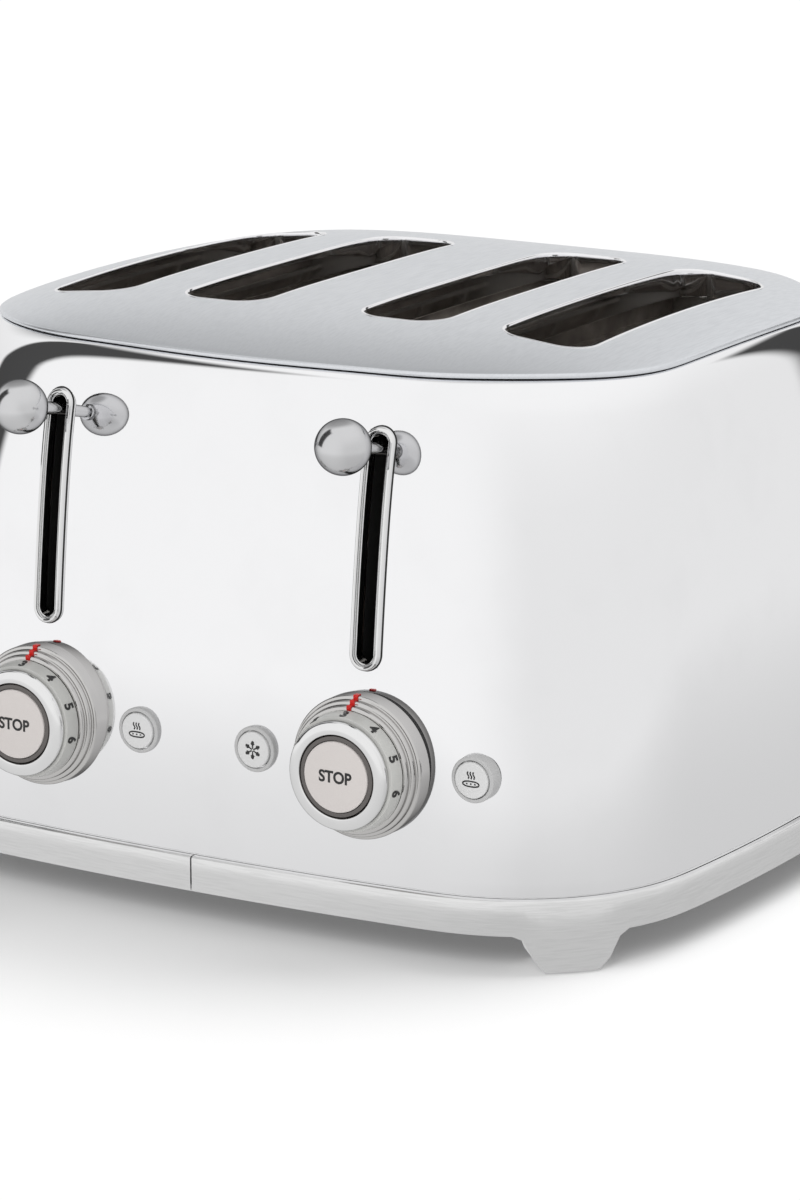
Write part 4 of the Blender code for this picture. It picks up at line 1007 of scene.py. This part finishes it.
def snowflake():
    strokes = []
    for arm in range(6):
        angle = math.radians(60 * arm)
        out = Vector((math.sin(angle), math.cos(angle)))
        side_way = Vector((out.y, -out.x))
        strokes.append(([out * 0.0004, out * 0.0033], False))
        for root, length in ((0.0017, 0.0010), (0.0025, 0.0007)):
            for way in (-1, 1):
                tip = out * (root + length * 0.7) + side_way * (way * length * 0.7)
                strokes.append(([out * root, tip], False))
    return strokes


def steam_and_slice():
    strokes = []
    for x in (-0.0011, 0, 0.0011):
        wave = [(x + 0.00030 * math.sin(2 * math.pi * t / 12), 0.0006 + 0.0025 * t / 12)
                for t in range(13)]
        strokes.append((wave, False))
    loaf = []
    for step in range(24):
        angle = 2 * math.pi * step / 24
        loaf.append((0.0032 * math.copysign(abs(math.cos(angle)) ** 0.7, math.cos(angle)),
                     -0.0012 + 0.00095 * math.sin(angle)))
    strokes.append((loaf, True))
    for x in (-0.0016, 0, 0.0016):
        strokes.append(([(x - 0.0003, -0.0012), (x + 0.0003, -0.0012)], False))
    return strokes


def button_places():
    """Each small button's side, kind and place. The outer ones stand prouder, as the wall is bowed."""
    inner, outer = DIAL_X - INNER_OFFSET, DIAL_X + OUTER_OFFSET
    for side, kind, x, proud in (("left", "defrost", -outer, OUTER_PROUD),
                                 ("left", "reheat", -inner, INNER_PROUD),
                                 ("right", "defrost", inner, INNER_PROUD),
                                 ("right", "reheat", outer, OUTER_PROUD)):
        yield side, kind, x, wall_front(x, DIAL_Z) - proud


for side, kind, x, y in button_places():
    name = kind + "_" + side
    piece(name + "_cap", turned(cap_profile, (x, y, DIAL_Z), steps=64, rounds=((1, 0.0006),)),
          cap_plastic, body=name + "_button", stands_for=(name + "_button",))
    piece(name + "_ring", turned(collar_profile, (x, y, DIAL_Z), steps=64, closed=True,
                                 rounds=((2, 0.0006),)),
          collar_grey, stands_for=(name + "_collar",))
    strokes = snowflake() if kind == "defrost" else steam_and_slice()
    piece(name + "_sign", lines(strokes, (x, y, DIAL_Z), STROKE_HALF), print_black,
          body=name + "_button", sharp=60)
print("buttons:", len(list(button_places())))

# %% [markdown]
# ## Everything that stays a plain solid
# The works inside are already the right shape, so they only get their finishes.

# %% Finishes for the remaining solids
finishes = {"heater_": mica, "bread_guide_": wire_steel, "guide_rod_": wire_steel,
            "return_spring_": wire_steel, "bread_carriage_": zinc_sheet, "crumb_tray_": zinc_sheet,
            "front_bulkhead": zinc_sheet, "rear_bulkhead": zinc_sheet, "side_reflector_": zinc_sheet,
            "control_board_": board_green, "latch_magnet_": coil_copper, "foot_pad_": rubber_black,
            "cord_gland": rubber_black, "base_plate": base_black}
dressed = 0
for name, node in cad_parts.items():
    for start, finish in finishes.items():
        if name.startswith(start):
            node.data.materials.clear()
            node.data.materials.append(finish)
            dressed += 1
print("solids given a finish:", dressed)

# %% [markdown]
# ## Floor, light and camera
# This is a catalogue scene: a white room with a soft shadow under the toaster. Polished
# steel only shows what stands around it, so the room matters more than the lamps. Here it is white
# all round, with two dark upright screens: one at the left and one behind draw the dark lines at
# the corners of the shoulder. The floor is as white in a mirror as the room above it, so that no
# horizon shows in the shell. Matt things are lit by lamps instead, which don't show in metal. The
# main lamp stands behind, so that the shadow falls to the front. The floor also glows less near the
# toaster than further out, so the soft shadow is partly painted shade.

# %% How white the room is in each direction
WALLS_WHITE = 0.83
WHITER = 0.13
BLACK, WHITE = (0, 0, 0, 1), (1, 1, 1, 1)


def room_white(shading, towards):
    """A soft window at the front left, and a ceiling that is whiter than the walls."""
    window = shading.dot(towards, (-0.42, -0.91, 0.17)).between(0.35, 0.95)
    ceiling = shading.dot(towards, (0, 0, 1)).between(0.0, 0.9)
    return WALLS_WHITE + (1 - (1 - window) * (1 - ceiling)) * WHITER


# %% Floor
FLOOR_GREY = 0.86
FLOOR_HALF = 6
GLOW = 1.1


def make_floor():
    """A pale floor, white further out; near the toaster it glows less, a painted shadow added to the
    lamps' own shadow.
    """
    finish = Finish("pale_floor", (FLOOR_GREY, FLOOR_GREY, FLOOR_GREY), 0.0, 0.7)
    where = finish.add("ShaderNodeTexCoord", output=3)
    towards = finish.add("ShaderNodeVectorMath", {"operation": "NORMALIZE"}, {0: where})
    away = finish.add("ShaderNodeVectorMath", {"operation": "LENGTH"}, {0: where}, 1)
    mirrored = finish.add("ShaderNodeLightPath", output=3)
    grain = finish.noise(0.4, 2.0) * 0.01
    # Painted shadow: within 0.185 m the floor glows only 0.13 and is lit by the lamps; out to 0.315 m
    # the glow rises to white.
    painted_shadow_fade = away.between(0.185, 0.315)
    glow_with_painted_shadow = 0.13 + painted_shadow_fade * 0.91
    near_base = (FLOOR_GREY - grain) * (1 - painted_shadow_fade)
    # In mirrors the floor glows as bright as the room in that direction, a painted reflection of the
    # room, and darker towards the toaster, a painted shade.
    mirror_glow_painted_shade = room_white(finish, towards) * (0.78 + away.between(0.18, 0.9) * 0.22)
    finish.drive("Base Color", finish.mix(near_base * (1 - mirrored), BLACK, WHITE))
    glow = glow_with_painted_shadow + mirrored * (mirror_glow_painted_shade - glow_with_painted_shadow)
    finish.drive("Emission Color", finish.mix(glow / GLOW, BLACK, WHITE))
    finish.shader.inputs["Emission Strength"].default_value = GLOW
    finish.shader.inputs["Specular IOR Level"].default_value = 0.0
    bm = bmesh.new()
    bmesh.ops.create_grid(bm, x_segments=2, y_segments=2, size=FLOOR_HALF)
    floor = to_object("floor", bm)
    floor.data.materials.append(finish.material)


make_floor()


# %% Room
SCREEN_DARK = 0.93
HAZE_DARK = 0.5
MATT_DIMMING = 0.5


def make_room():
    """The white world with its two dark screens, and a haze that the cover's front mirrors."""
    world = bpy.data.worlds.new("white_room")
    bpy.context.scene.world = world
    world.use_nodes = True
    world.node_tree.nodes.clear()
    room = Shading(world.node_tree)
    towards = room.add("ShaderNodeTexCoord", output=0)

    def screen(first, last, top):
        """A dark upright screen between two compass angles, up to a top angle."""
        first, last, top = (math.radians(angle) for angle in (first, last, top))
        after = room.dot(towards, (-math.sin(first), math.cos(first), 0)).between(-0.03, 0.03)
        before = room.dot(towards, (math.sin(last), -math.cos(last), 0)).between(-0.03, 0.03)
        above = room.dot(towards, (0, 0, 1)).between(math.sin(top) - 0.05, math.sin(top) + 0.03)
        return after * before * (1 - above)

    at_left = screen(183, 270, 53) * room.dot(towards, (-0.477, 0.859, 0.187)).between(-0.04, 0.06)
    behind = screen(67.5, 84, 24)
    haze = room.dot(towards, (-0.44, 0.44, 0.79)).between(0.81, 0.99) * HAZE_DARK
    level = room_white(room, towards) * (1 - at_left * SCREEN_DARK) * (1 - behind * SCREEN_DARK)
    level = level * (1 - haze)
    matt = room.add("ShaderNodeLightPath", output=10).between(0.0, 1.0)
    level = level * (1 - matt * MATT_DIMMING)
    light = room.add("ShaderNodeBackground", {}, {"Color": room.mix(level, BLACK, WHITE)})
    room.add("ShaderNodeOutputWorld", {}, {"Surface": light})


make_room()


# %% Lamps
def lamp(name, place, size, power, target=(0, 0, 0.1)):
    """A soft round lamp that polished metal doesn't mirror."""
    data = bpy.data.lights.new(name, "AREA")
    data.shape = "DISK"
    data.size = size
    data.energy = power
    thing = bpy.data.objects.new(name, data)
    bpy.context.scene.collection.objects.link(thing)
    thing.location = place
    thing.rotation_euler = (Vector(target) - Vector(place)).to_track_quat("-Z", "Y").to_euler()
    thing.visible_glossy = False
    return thing


lamp("back_lamp", (0.5, 1.0, 1.9), 2.2, 34)
lamp("front_lamp", (0.6, -2.0, 1.5), 1.2, 22)

# %% Camera
CAMERA_PLACE = (0.8736, -1.4899 + SHIFT, 0.5201)
camera_right = Vector((0.86161, 0.50758, -0.00026))
camera_up = Vector((-0.12309, 0.20944, 0.97004))
camera_back = Vector((0.49243, -0.83576, 0.24293))
lens = bpy.data.cameras.new("camera")
lens.lens = 141.24
lens.sensor_width = 36
camera = bpy.data.objects.new("camera", lens)
bpy.context.scene.collection.objects.link(camera)
turn = Matrix((camera_right, camera_up, camera_back)).transposed().to_4x4()
camera.matrix_world = Matrix.Translation(CAMERA_PLACE) @ turn
bpy.context.scene.camera = camera
bpy.context.scene.view_settings.view_transform = "Standard"
